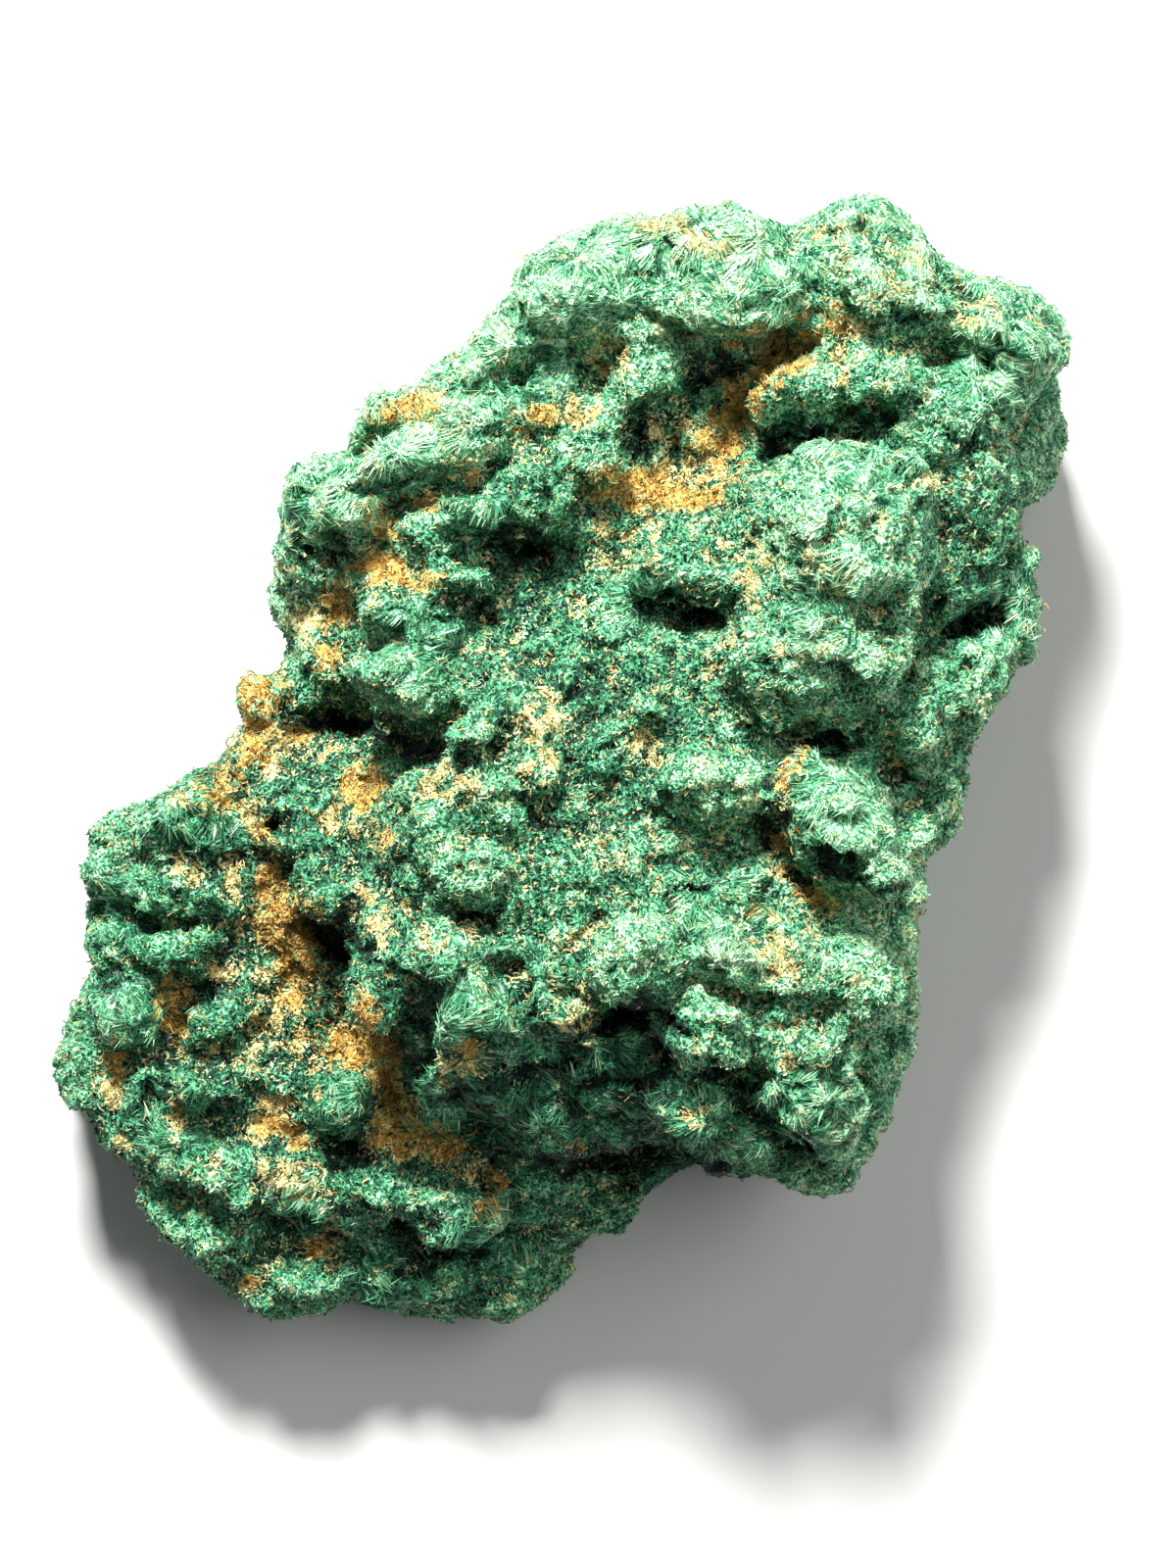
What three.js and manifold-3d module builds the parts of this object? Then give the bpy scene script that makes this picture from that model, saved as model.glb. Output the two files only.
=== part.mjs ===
// Atacamite specimen: one grown mass of green crystals on its own rusty vein stone, lying on its broken
// back with the crystal face up. Millimetres, +X to the right of the face, +Y to its upper end, +Z out
// of the face. The origin is the middle of the outline, on the surface that the specimen lies on.
// The mass is one closed solid: a body that follows the outline and the broad levels of the face, with
// lumps and their buds grown on it, pits between them, and ledges that hang over the pits. It is then
// thinned, cut flat at the back, centred and drawn to its width and length.

import * as THREE from 'three';
import Module from 'manifold-3d';
import { mergeVertices } from 'three/addons/utils/BufferGeometryUtils.js';
import { ImprovedNoise } from 'three/addons/math/ImprovedNoise.js';

// Driving dimensions
const WIDTH = 53.8;           // across the face, left tip to right crown
const LENGTH = 58.3;          // top crown to bottom lump
const BACK_DEPTH = 1.6;       // how far the body would bulge below its flat broken back
const BODY_HEART = [1.4, -0.7];   // point from which the whole outline can be seen
const OUTLINE_STEPS = 8;      // points between two corners of the outline
const RIM_SHARE = 0.42;       // height of the widest line of the sides, as a share of the face level
const BODY_DETAIL = 13;       // subdivision of the body
const BODY_SQUARENESS = 3.2;  // a section of 2 is round; above it the sides are steep and the face broad
const BODY_INSET = 0.35;      // the body stays inside the outline, and the lumps reach it
const LEVEL_REACH = 2.4;      // distance over which a level of the face fades out
const FAR_WEIGHT = 1e-6;      // how much a level still counts far away from its place
const ROUGHNESS = 0.27;       // depth of a lump's own hollows, as a share of its size
const BODY_ROUGHNESS = 0.8;   // depth of the body's hollows
const BIG_LUMP = 2.6;         // lumps above this mean half size are subdivided twice
const TALLNESS = 1.25;        // a lump is at most this much deeper than it is wide
const SAME_POINT = 1e-4;      // corners closer than this are one

// Hollows of the body in millimetres and of a lump in half sizes: width, share of the roughness, seed
const BODY_HOLLOWS = [[4.5, 1, 0], [2.2, 0.6, 7.3]];
const LUMP_HOLLOWS = [[0.8, 1.4, 0], [0.4, 1, 0]];
const LUMP_SEEDS = [0.37, 0.73];   // seed of a lump for each millimetre across and along

// Smaller lumps that bud from the shoulders of each lump
const BUDS = 2;               // buds on a lump
const BUD_SIZE = 0.5;         // size, as a share of the lump
const BUD_VARIETY = 0.2;      // how much the sizes differ
const BUD_DEPTH = 0.7;        // depth, as a share of the lump's
const BUD_APART = 0.7;        // distance from the middle, as a share of the lump
const BUD_DROP = 0.16;        // how far the top is below the lump's, as a share of its depth
const BUD_STEP = 2.4;         // angle from one bud to the next, in radians
const BUD_TWIST = 40;         // turn of one bud against the one before, in degrees
const BUD_SEEDS = [1.7, 0.9];  // angle of the first bud for each millimetre across and along

// Lumps of the sides, one for each step round the outline, in courses one above the other
const SIDE_COURSES = [
  { share: 0.16, inset: 3.7, size: 2.7, step: 17, start: 5 },
  { share: 0.45, inset: 2.6, size: 2.2, step: 13, start: 0 },
  { share: 0.74, inset: 2.2, size: 1.9, step: 11, start: 7 },
];
const SIDE_SHAPE = [1, 1.2, 0.95];   // half sizes across, along and deep, as shares of the size
const SIDE_VARIETY = 0.3;     // how much the sizes differ
const SIDE_SEED = 2.3;        // change of the size's phase from one degree to the next

// Thinning of the finished solid
const FACES = 9600;           // about how many triangles the solid keeps
const SLIVER_WEIGHT = 0.01;   // how strongly short edges are preferred
const LEAST_FACE_TURN = 0.3;  // cosine of the largest turn that a face may be given
const PASS_SHARE = 0.2;       // share of the faces that one pass may take away
const MOST_PASSES = 14;       // passes at most

const COLOUR = 0x4f8f70;
const GLOSS_ROUGHNESS = 0.72;

// Outline of the face, clockwise from the left tip
const OUTLINE = [
  [-26.8, -16.6], [-25.6, -14.8], [-24.3, -13.0], [-24.8, -10.8], [-24.0, -9.0], [-24.9, -5.7],
  [-24.4, -4.0], [-21.9, -3.5], [-20.8, -2.2], [-18.6, 0.2], [-17.0, 2.2], [-15.9, 4.4],
  [-14.0, 6.6], [-13.9, 9.6], [-14.7, 13.6], [-13.2, 15.9], [-11.0, 16.8], [-10.7, 18.6],
  [-8.7, 19.7], [-4.8, 21.6], [-3.7, 23.2], [-1.8, 24.5], [-0.6, 26.0], [1.4, 27.6],
  [3.8, 28.5], [5.9, 28.5], [7.8, 28.9], [10.4, 28.0], [11.9, 27.2], [13.2, 28.4],
  [15.8, 29.0], [19.0, 27.9], [21.4, 26.1], [24.4, 24.8], [26.6, 22.6], [26.7, 20.0],
  [25.5, 16.8], [25.2, 14.6], [24.3, 12.5], [25.4, 10.6], [24.9, 7.6], [23.4, 4.4],
  [22.5, 1.6], [20.8, -0.8], [20.2, -3.4], [18.9, -5.3], [19.0, -8.4], [18.6, -12.8],
  [17.8, -16.0], [16.5, -19.6], [14.4, -21.5], [10.4, -20.9], [6.9, -21.1], [4.2, -23.1],
  [1.0, -25.2], [-1.6, -27.3], [-4.6, -29.1], [-8.6, -28.6], [-10.4, -28.1], [-14.8, -28.8],
  [-18.6, -27.6], [-20.8, -24.6], [-23.2, -20.8],
];

// Levels of the face: place and height of the ground between the lumps, area by area
const LEVELS = [
  // crown
  [16, 25, 20.5], [20, 25.5, 17.5], [23, 22, 17.5], [12.5, 26, 20], [15, 21, 21], [20, 19, 19.5],
  [24.5, 20, 13],
  // great dome and what lies below it
  [14, 13, 23.5], [12, 9.5, 22.5], [17, 9, 22.5], [18.5, 13, 20.5], [13, 5.5, 22.5], [16.5, 5, 20.5],
  [14.5, -2, 22], [17.5, -3, 18.5], [15, -5, 21], [11, -3, 18.5], [7.8, -1, 21.5], [7, 3, 20.5],
  [9.5, 2.5, 20.5],
  // right slope
  [21.5, 14, 16], [21, 9, 15.5], [24.3, 9, 11], [20.5, 5, 16], [22.5, 3, 12], [19, 1, 18],
  [17.5, -10, 14.5],
  // heart
  [3, -5, 20], [0, -6, 19.8], [4, -9, 22], [8, -8.5, 21.5], [12, -9, 20.8], [15.5, -9.5, 20],
  [0, -11.5, 20.5], [-4, -12, 20.5], [-8, -11, 18.5], [-5, -8.5, 21], [-8, -7, 19.5],
  [-5.5, -3.5, 21], [-2.5, -2, 21], [-7.5, -1, 19], [-1, 1.5, 21.3], [2.5, 1.5, 19.5],
  [5, 2.5, 20.3], [-3.5, 2.5, 19.5], [-2.5, 5, 18], [1, 5, 18.5], [5.5, 6, 20], [2.5, 7.5, 18.5],
  [7.5, 10, 21], [10, 9, 21], [-1.5, 8.5, 15], [-1, 11, 13.5], [3, 10.5, 16.5],
  // lower right
  [8, -13, 21], [12.5, -13.5, 20], [16, -14, 16.5], [13, -17.5, 18.2], [15.5, -18.5, 14],
  [8.5, -17, 18.5], [10.5, -19, 16],
  // valley
  [5, 13.8, 16.5], [7.5, 16, 16.5], [8, 19.5, 15], [11, 21.3, 16.5], [10.5, 17.5, 18.5], [5, 17.5, 15],
  // ridge
  [2.5, 26, 20], [8.5, 26, 21], [10, 23.8, 21], [5, 22, 19], [0.5, 23.5, 20.5], [-2.5, 21.5, 18.5],
  [0.5, 19.5, 18], [3.5, 19, 18.5], [-4.5, 18, 20], [-7.5, 18.3, 17.5], [-8, 15.7, 20.5],
  [-11, 15, 18.5], [-12.8, 12.5, 15.5], [-9.5, 13, 19], [-4.5, 14.5, 19.5], [-1, 16.5, 19.5],
  [1.5, 16.5, 19.2], [-1, 13.5, 19.5], [-6.5, 12, 18.5], [-9.5, 10, 16.5], [-5.5, 9.5, 19.5],
  [-8, 7, 20], [-7.5, 4.5, 20.3], [-12.3, 6, 16], [-5, 5.5, 18.5],
  // hollow at the left, and the terrace
  [-11.5, 2.3, 10.5], [-8, 1, 14], [-15, 3.5, 12.5], [-15.5, 0, 12.5], [-12, -1, 13.5],
  [-12.5, -4, 15], [-10.5, -6.5, 17], [-19, -2.5, 13.5], [-23, -5.5, 12], [-19.5, -6.5, 12.8],
  [-19.5, -9.5, 12.2], [-16, -5, 12.3], [-22.5, -12.5, 11.5], [-18, -12.5, 11], [-13.5, -10.5, 9.5],
  [-11, -12.5, 10], [-25.5, -15.5, 9.5], [-21, -16, 11], [-16.5, -16, 11], [-11.3, -16.5, 12.5],
  [-9, -15.5, 10.5], [-7.5, -18.5, 9.5], [-19.5, -20, 10.5], [-15, -21.5, 10.5], [-17.5, -24.5, 9],
  [-13.5, -26.5, 8], [-9.5, -22, 11], [-5, -22.5, 10.5], [-5.5, -26.5, 7], [-1, -22, 9],
  [2, -22.5, 7], [4.5, -20.5, 6.5], [-3.5, -19.5, 9.5],
  // cliff
  [-3, -15, 17.5], [0.5, -14.8, 19.5], [4, -15.3, 19.5], [-6.5, -15.5, 15.5], [0, -17.5, 14],
  [5, -17.5, 16.5],
];

// A lump is one row: x, y, height of its top, half sizes across and along, half depth, turn about Z
// and lean about X in degrees. A negative lean lifts the lower rim, so the lump looks up the face.
const RIDGE_LUMPS = [
  [2.4, 26.1, 21.6, 3.9, 2.3, 5.0, 25, 0],
  [8.4, 26.8, 22.6, 3.5, 2.3, 5.0, -5, 0],
  [-1.6, 22.6, 20.6, 2.5, 1.9, 4.2, 22, 0],
  [-4.2, 20.4, 19.6, 2.6, 1.7, 4.2, 22, 0],
  [5.0, 20.5, 20.8, 2.2, 2.3, 4.2, 0, 0],
  [-9.0, 18.3, 17.6, 2.1, 1.5, 4.2, 15, 0],
  [-6.0, 18.9, 19.2, 2.4, 1.6, 4.2, 22, 0],
  [-12.4, 14.3, 17.8, 2.5, 2.1, 5.2, 10, 0],
  [-12.9, 11.5, 15.8, 1.8, 2.1, 5.2, 0, 0],
  [-0.4, 19.0, 19.2, 2.2, 2.0, 4.2, 0, 0],
  [-9.2, 10.1, 17.8, 2.5, 1.7, 4.2, -20, 0],
  [-12.7, 8.4, 12.6, 1.4, 1.6, 4.2, 0, 0],
  [2.4, 23.2, 20.4, 2.0, 1.8, 4.2, 0, 0],
  [6.2, 24.2, 21.4, 1.9, 1.7, 4.2, 0, 0],
];
const CROWN_LUMPS = [
  [16.2, 24.9, 22.4, 5.2, 4.1, 6.5, -12, 0],
  [22.8, 22.0, 19.6, 4.2, 3.9, 7.5, 10, 0],
  [19.9, 18.3, 20.8, 3.3, 2.9, 5.0, 0, 0],
  [21.3, 14.4, 18.8, 3.4, 2.8, 6.2, 0, 0],
  [24.2, 16.6, 14.2, 1.6, 3.0, 5.2, 0, 0],
  [20.4, 10.4, 18.2, 2.7, 2.5, 5.2, 0, 0],
  [24.0, 9.2, 15.0, 1.7, 3.3, 5.2, 8, 0],
  [20.8, 4.9, 18.0, 3.4, 2.9, 6.2, 25, 0],
  [18.0, 2.1, 20.2, 2.5, 2.1, 4.8, 0, 0],
  [20.2, -1.3, 15.6, 1.7, 2.9, 5.6, -20, 0],
  [17.9, -6.6, 14.6, 1.3, 3.0, 5.6, 0, 0],
  [17.6, -11.8, 14.4, 1.4, 3.0, 5.6, 5, 0],
  [16.8, -16.4, 13.8, 1.3, 2.6, 5.6, 15, 0],
];
const HEART_LUMPS = [
  [2.4, 7.1, 20.0, 2.2, 1.9, 3.8, 20, -8],
  [5.9, 5.8, 20.8, 2.1, 1.7, 3.8, 0, -8],
  [8.9, 4.6, 21.4, 1.9, 2.2, 3.8, 0, 0],
  [4.8, 3.1, 22.0, 1.6, 1.1, 3.2, 20, -10],
  [2.2, 1.3, 21.6, 1.8, 1.7, 3.6, 0, -10],
  [-2.4, 3.9, 20.8, 2.0, 1.5, 3.6, 0, 0],
  [-0.8, 0.7, 22.8, 1.3, 2.6, 4.2, -12, 0],
  [-2.6, 9.0, 15.6, 1.9, 2.0, 3.2, 0, 0],
  [3.2, 10.9, 17.2, 2.4, 2.2, 3.2, 0, 0],
  [-5.9, -3.9, 21.6, 2.9, 3.6, 4.2, 20, 0],
  [-3.2, -1.6, 22.2, 2.3, 2.0, 3.8, 0, -8],
  [1.1, -4.8, 21.4, 2.4, 2.5, 3.6, 0, 0],
  [4.0, -4.7, 21.6, 2.0, 2.0, 3.6, 0, 0],
  [-8.0, -8.9, 21.2, 2.2, 2.4, 4.8, 20, 0],
  [-4.4, -9.7, 22.2, 2.6, 1.9, 4.2, 0, -8],
  [0.2, -8.9, 21.6, 2.0, 2.0, 3.8, 0, 0],
  [0.9, -12.2, 21.4, 1.9, 1.6, 3.8, 0, 0],
  [12.2, -9.9, 22.0, 2.5, 2.7, 4.2, 0, 0],
  [15.4, -10.6, 21.4, 2.5, 3.1, 5.2, 10, 0],
  [13.0, -13.9, 21.2, 2.6, 2.0, 4.2, 0, 0],
  [9.4, -5.8, 20.8, 1.7, 1.5, 3.2, 0, 0],
  [6.9, -16.9, 20.4, 2.4, 1.7, 4.2, -20, 0],
];
const TERRACE_LUMPS = [
  [-15.2, 4.0, 14.0, 1.3, 1.6, 3.6, -20, 0],
  [-15.6, 0.9, 13.8, 2.0, 2.2, 3.6, -35, 0],
  [-12.9, -2.6, 15.8, 2.6, 2.3, 4.0, 0, 0],
  [-11.3, -5.9, 17.4, 2.2, 2.0, 4.6, -25, 0],
  [-19.3, -2.6, 15.2, 2.7, 2.1, 4.2, 25, 0],
  [-23.0, -5.4, 13.4, 2.0, 1.8, 4.0, 0, 0],
  [-23.2, -8.8, 12.8, 1.4, 1.8, 4.0, 0, 0],
  [-22.6, -12.6, 13.2, 2.1, 2.2, 4.0, -10, -8],
  [-25.1, -15.8, 11.0, 1.9, 2.0, 4.0, -20, 0],
  [-17.2, -12.4, 12.4, 2.1, 1.9, 3.2, 0, 0],
  [-16.6, -16.2, 12.4, 1.9, 2.0, 3.2, 0, 0],
  [-21.0, -16.6, 12.4, 1.6, 1.7, 3.2, 0, -8],
  [-20.0, -19.8, 12.0, 2.0, 1.9, 3.6, 0, 0],
  [-16.9, -21.3, 12.4, 2.1, 1.8, 3.6, 15, -8],
  [-13.6, -21.6, 11.8, 1.9, 1.8, 3.6, 0, -8],
  [-17.5, -24.8, 10.4, 2.3, 1.7, 4.0, 0, 0],
  [-13.2, -26.7, 9.0, 3.0, 1.9, 4.2, 0, 0],
  [-9.6, -22.2, 12.6, 2.4, 2.4, 4.0, -15, 0],
  [-5.6, -26.9, 7.8, 3.3, 2.2, 4.2, 0, 0],
  [-1.2, -21.9, 10.2, 2.5, 1.9, 3.6, 20, 0],
  [1.7, -22.8, 8.4, 2.0, 1.5, 3.6, 25, 0],
  [-13.2, -11.2, 10.8, 1.8, 2.2, 3.0, 0, 0],
];

// Slots and pits that stay dark between the lumps, in the same rows; the height is that of the top
// of the cutting lump, well above the face, so that the pit is open.
const PITS = [
  [9.8, 21.4, 24.5, 3.1, 0.9, 4.6, 22, 0],
  [5.0, 17.9, 23.0, 2.4, 1.4, 4.0, 30, 0],
  [2.5, 21.0, 24.0, 0.9, 1.0, 3.6, 0, 0],
  [13.9, 17.0, 26.0, 3.9, 0.85, 5.4, 12, 0],
  [-1.6, 11.2, 22.0, 3.4, 1.1, 4.2, -6, 0],
  [-5.0, 7.6, 22.0, 0.9, 1.0, 3.4, 0, 0],
  [-11.4, 2.6, 18.0, 2.6, 1.8, 4.4, -8, 0],
  [-7.6, 1.3, 22.0, 2.2, 1.2, 4.2, -12, 0],
  [7.2, 8.0, 26.0, 3.2, 0.9, 5.0, -14, 0],
  [13.2, 1.5, 28.0, 2.7, 0.85, 6.4, -4, 0],
  [5.9, 3.7, 25.0, 0.7, 0.6, 3.4, 0, 0],
  [2.6, -0.7, 24.0, 1.2, 0.5, 2.8, 0, 0],
  [8.1, -4.0, 25.0, 1.9, 0.7, 3.8, 8, 0],
  [10.7, -2.2, 25.0, 0.8, 2.8, 3.8, -14, 0],
  [13.2, -5.6, 26.0, 1.8, 0.75, 5.2, -32, 0],
  [17.2, -0.1, 22.0, 1.3, 0.5, 3.2, -15, 0],
  [20.8, 7.5, 20.0, 1.7, 0.6, 3.6, 22, 0],
  [23.5, 9.9, 18.0, 0.5, 0.5, 2.8, 0, 0],
  [-4.4, -7.0, 24.0, 1.0, 0.55, 3.2, 6, 0],
  [4.2, -12.4, 25.0, 2.9, 1.1, 5.0, 18, 0],
  [8.3, -15.6, 24.0, 2.6, 0.6, 4.2, -12, 0],
  [12.8, -19.3, 21.0, 2.1, 0.5, 3.6, -35, 0],
  [4.4, -20.4, 16.0, 4.4, 1.3, 7.2, -3, 0],
  [-0.4, -16.6, 20.0, 3.6, 0.55, 4.2, 18, 0],
  [-11.4, -8.8, 16.8, 3.2, 0.9, 4.4, -42, 0],
  [-14.6, -2.7, 16.0, 0.9, 0.8, 3.2, 0, 0],
  [-23.1, -5.9, 14.0, 0.6, 0.5, 2.2, 0, 0],
  [-19.4, -7.9, 15.0, 1.5, 0.4, 2.6, 0, 0],
  [-19.2, -11.3, 14.5, 1.9, 0.6, 2.8, 8, 0],
  [-11.2, -19.5, 14.0, 1.3, 0.75, 3.6, -8, 0],
  [-6.6, -25.1, 12.0, 1.9, 0.55, 4.0, 4, 0],
  [-21.8, -14.9, 13.0, 1.2, 0.5, 2.6, -20, 0],
  [1.2, 15.0, 22.0, 0.7, 0.5, 2.8, -20, 0],
  [22.2, 21.0, 21.5, 1.1, 0.8, 2.4, -30, 0],
];

// Ledges and domes that hang over the pits, in the same rows
const LEDGES = [
  [9.6, 23.7, 23.8, 3.2, 2.2, 3.0, 14, -16],
  [0.8, 24.0, 22.8, 2.9, 1.6, 2.8, -12, -14],
  [-4.2, 17.6, 21.9, 2.3, 1.7, 3.0, 0, -12],
  [-7.7, 15.7, 22.4, 2.8, 1.5, 2.8, 4, -10],
  [-10.3, 13.6, 21.0, 2.2, 1.7, 3.6, 10, -14],
  [-7.0, 11.9, 20.2, 1.8, 1.4, 3.0, 0, -10],
  [-4.4, 13.3, 22.0, 2.0, 1.2, 3.0, -8, -10],
  [-0.9, 14.2, 21.2, 2.5, 2.0, 3.4, -15, -14],
  [2.0, 16.4, 20.6, 1.9, 2.1, 3.6, -10, -6],
  [-4.9, 9.7, 21.0, 1.8, 1.1, 2.6, 0, -14],
  [-7.6, 7.6, 21.4, 2.6, 1.5, 3.2, -6, -10],
  [-8.0, 4.7, 22.2, 2.7, 1.7, 4.8, -8, -18],
  [-12.5, 5.7, 18.0, 1.8, 1.6, 5.4, 0, -12],
  [-4.2, 1.8, 22.0, 1.3, 1.3, 3.0, 0, 0],
  [12.2, 19.3, 22.0, 2.3, 1.7, 3.2, 20, -10],
  [15.8, 19.6, 22.4, 2.9, 1.9, 3.2, -4, -10],
  [14.2, 12.8, 25.8, 4.5, 3.7, 5.5, 0, -4],
  [17.4, 11.4, 24.0, 2.3, 4.4, 5.5, 4, 0],
  [14.8, 10.3, 26.4, 2.9, 1.5, 3.0, -4, -10],
  [12.4, 6.0, 25.6, 3.6, 3.3, 5.0, -10, -12],
  [15.6, 5.6, 23.8, 2.6, 2.9, 4.6, 0, -6],
  [6.4, 10.3, 22.8, 2.9, 1.8, 2.8, -12, -14],
  [10.0, 9.2, 22.6, 1.9, 1.8, 3.0, -10, -8],
  [7.8, -0.8, 24.2, 2.6, 2.5, 3.8, 0, -10],
  [7.9, -3.9, 20.4, 1.5, 0.7, 2.0, 0, 0],
  [14.0, -1.6, 24.6, 3.0, 2.6, 4.2, -10, -4],
  [15.6, -4.4, 24.4, 3.1, 2.1, 4.2, -24, -12],
  [-4.3, -5.2, 23.0, 2.0, 1.6, 3.0, 0, -14],
  [3.9, -9.4, 25.2, 2.6, 2.3, 3.8, 10, -14],
  [8.1, -8.9, 24.4, 2.2, 1.6, 3.4, -12, -12],
  [8.2, -13.2, 23.8, 2.9, 1.9, 3.4, -10, -12],
  [-3.7, -12.5, 22.6, 2.5, 1.5, 3.2, -4, -14],
  [13.4, -17.2, 20.4, 3.3, 2.3, 4.0, -28, -10],
  [14.4, -20.0, 15.2, 2.3, 1.3, 4.6, 10, 0],
  [9.4, -19.0, 17.6, 2.8, 0.9, 2.8, -22, -20],
  [-3.0, -15.2, 19.4, 4.2, 0.9, 3.0, 10, -34],
  [3.4, -15.7, 19.6, 3.4, 1.0, 3.0, -20, -34],
  [1.0, -18.1, 16.8, 4.4, 1.0, 3.4, -4, -42],
  [-6.4, -17.1, 15.4, 2.2, 1.2, 3.6, 8, -20],
  [-9.4, -11.3, 20.4, 1.5, 2.2, 4.2, 14, 0],
  [-19.4, -6.3, 14.4, 2.4, 1.3, 2.4, 6, -14],
  [-19.4, -9.4, 14.2, 2.6, 1.2, 3.4, 8, -12],
  [-18.4, -10.5, 14.0, 0.7, 0.6, 1.4, 0, 0],
  [-11.2, -16.7, 14.8, 1.7, 2.1, 3.2, 0, -14],
  [-19.0, -16.5, 13.8, 0.7, 1.5, 3.6, 0, 0],
  [-5.0, -23.4, 12.4, 3.0, 1.4, 2.4, 4, -16],
];

const wasm = await Module();
wasm.setup();
const noise = new ImprovedNoise();

/** Turns the points and triangles of a closed mesh into a solid. */
function solidFrom(vertProperties, triVerts) {
  return new wasm.Manifold(new wasm.Mesh({ numProp: 3, vertProperties, triVerts }));
}

/** Turns a closed three.js geometry into a solid. */
function solidOf(geometry) {
  geometry.deleteAttribute('normal');
  geometry.deleteAttribute('uv');
  const merged = mergeVertices(geometry, SAME_POINT);
  return solidFrom(
    new Float32Array(merged.getAttribute('position').array), new Uint32Array(merged.getIndex().array));
}

/** Depth of a set of hollows at a point: smooth noise of each width, from about -1 to 1, in its share. */
function roughAt(point, hollows, ownSeed = 0) {
  return hollows.reduce((sum, [width, share, seed]) => {
    const shift = seed + ownSeed;
    const [x, y, z] = point.toArray().map((along) => along / width);
    return sum + share * noise.noise(x + shift, y - shift, z + shift);
  }, 0);
}

/** Radius of a flat-sided round section, the squarer the higher its power. */
function squareRound(flat, high) {
  return (flat ** BODY_SQUARENESS + high ** BODY_SQUARENESS) ** (1 / BODY_SQUARENESS);
}

const outlineCurve = new THREE.SplineCurve(OUTLINE.map(([x, y]) => new THREE.Vector2(x, y)));
outlineCurve.closed = true;
const heart = new THREE.Vector2(...BODY_HEART);
const outlineRays = outlineCurve.getPoints(OUTLINE.length * OUTLINE_STEPS)
  .concat(new THREE.Vector2(...OUTLINE[0]))
  .map((point) => point.clone().sub(heart))
  .map((offset) => ({ angle: offset.angle(), reach: offset.length() }))
  .sort((a, b) => a.angle - b.angle);

/** Distance from the heart to the outline in the direction of an angle. */
function reachAt(angle) {
  const full = 2 * Math.PI;
  const turned = ((angle % full) + full) % full;
  const after = outlineRays.findIndex((ray) => ray.angle > turned);
  if (after <= 0) return outlineRays[after < 0 ? outlineRays.length - 1 : 0].reach;
  const [a, b] = [outlineRays[after - 1], outlineRays[after]];
  return THREE.MathUtils.mapLinear(turned, a.angle, b.angle, a.reach, b.reach);
}

/** Height of the ground between the lumps at a place on the face. */
function levelAt(x, y) {
  let total = 0;
  let weights = 0;
  for (const [px, py, height] of LEVELS) {
    const apart = Math.hypot(x - px, y - py) / LEVEL_REACH;
    const weight = Math.exp(-apart * apart / 2) + FAR_WEIGHT / (1 + apart * apart);
    total += weight * height;
    weights += weight;
  }
  return total / weights;
}

/** The body: a ball drawn out to the outline, to the levels of the face and to the back. */
function bodySolid() {
  const geometry = new THREE.IcosahedronGeometry(1, BODY_DETAIL);
  const places = geometry.getAttribute('position');
  const point = new THREE.Vector3();
  for (let i = 0; i < places.count; i += 1) {
    point.fromBufferAttribute(places, i);
    const flat = Math.hypot(point.x, point.y);
    const high = Math.abs(point.z);
    const angle = Math.atan2(point.y, point.x);
    const radius = squareRound(flat, high);
    const rimReach = reachAt(angle);
    const reach = (rimReach - BODY_INSET) * flat / radius;
    const x = heart.x + reach * Math.cos(angle);
    const y = heart.y + reach * Math.sin(angle);
    const rimLevel = levelAt(heart.x + rimReach * Math.cos(angle), heart.y + rimReach * Math.sin(angle));
    const end = point.z > 0 ? levelAt(x, y) : -BACK_DEPTH;
    point.set(x, y, THREE.MathUtils.lerp(RIM_SHARE * rimLevel, end, high / radius));
    const rough = BODY_ROUGHNESS * roughAt(point, BODY_HOLLOWS);
    point.x += rough * Math.cos(angle);
    point.y += rough * Math.sin(angle);
    point.z += rough;
    places.setXYZ(i, point.x, point.y, point.z);
  }
  return solidOf(geometry);
}

/** One lump, pit or ledge from its row, roughened by its own hollows. */
function lumpSolid([x, y, top, across, along, deep, turn, lean]) {
  const mean = (across + along + deep) / 3;
  const geometry = new THREE.IcosahedronGeometry(1, mean > BIG_LUMP ? 2 : 1);
  const seed = LUMP_SEEDS[0] * x + LUMP_SEEDS[1] * y;
  const places = geometry.getAttribute('position');
  const point = new THREE.Vector3();
  for (let i = 0; i < places.count; i += 1) {
    point.fromBufferAttribute(places, i);
    point.multiplyScalar(1 + ROUGHNESS * roughAt(point, LUMP_HOLLOWS, seed));
    places.setXYZ(i, point.x, point.y, point.z);
  }
  geometry.scale(across, along, deep);
  geometry.rotateX(THREE.MathUtils.degToRad(lean));
  geometry.rotateZ(THREE.MathUtils.degToRad(turn));
  geometry.translate(x, y, top - deep);
  return solidOf(geometry);
}

/** Rows of the lumps round the sides, course by course. */
function sideRows() {
  const rows = [];
  for (const { share, inset, size, step, start } of SIDE_COURSES) {
    for (let degrees = start; degrees < 360; degrees += step) {
      const angle = THREE.MathUtils.degToRad(degrees);
      const reach = reachAt(angle) - inset;
      const x = heart.x + reach * Math.cos(angle);
      const y = heart.y + reach * Math.sin(angle);
      const grown = size * (1 + SIDE_VARIETY * Math.sin(SIDE_SEED * degrees));
      const halves = SIDE_SHAPE.map((side) => side * grown);
      rows.push([x, y, share * levelAt(x, y) + grown, ...halves, degrees, 0]);
    }
  }
  return rows;
}

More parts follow.
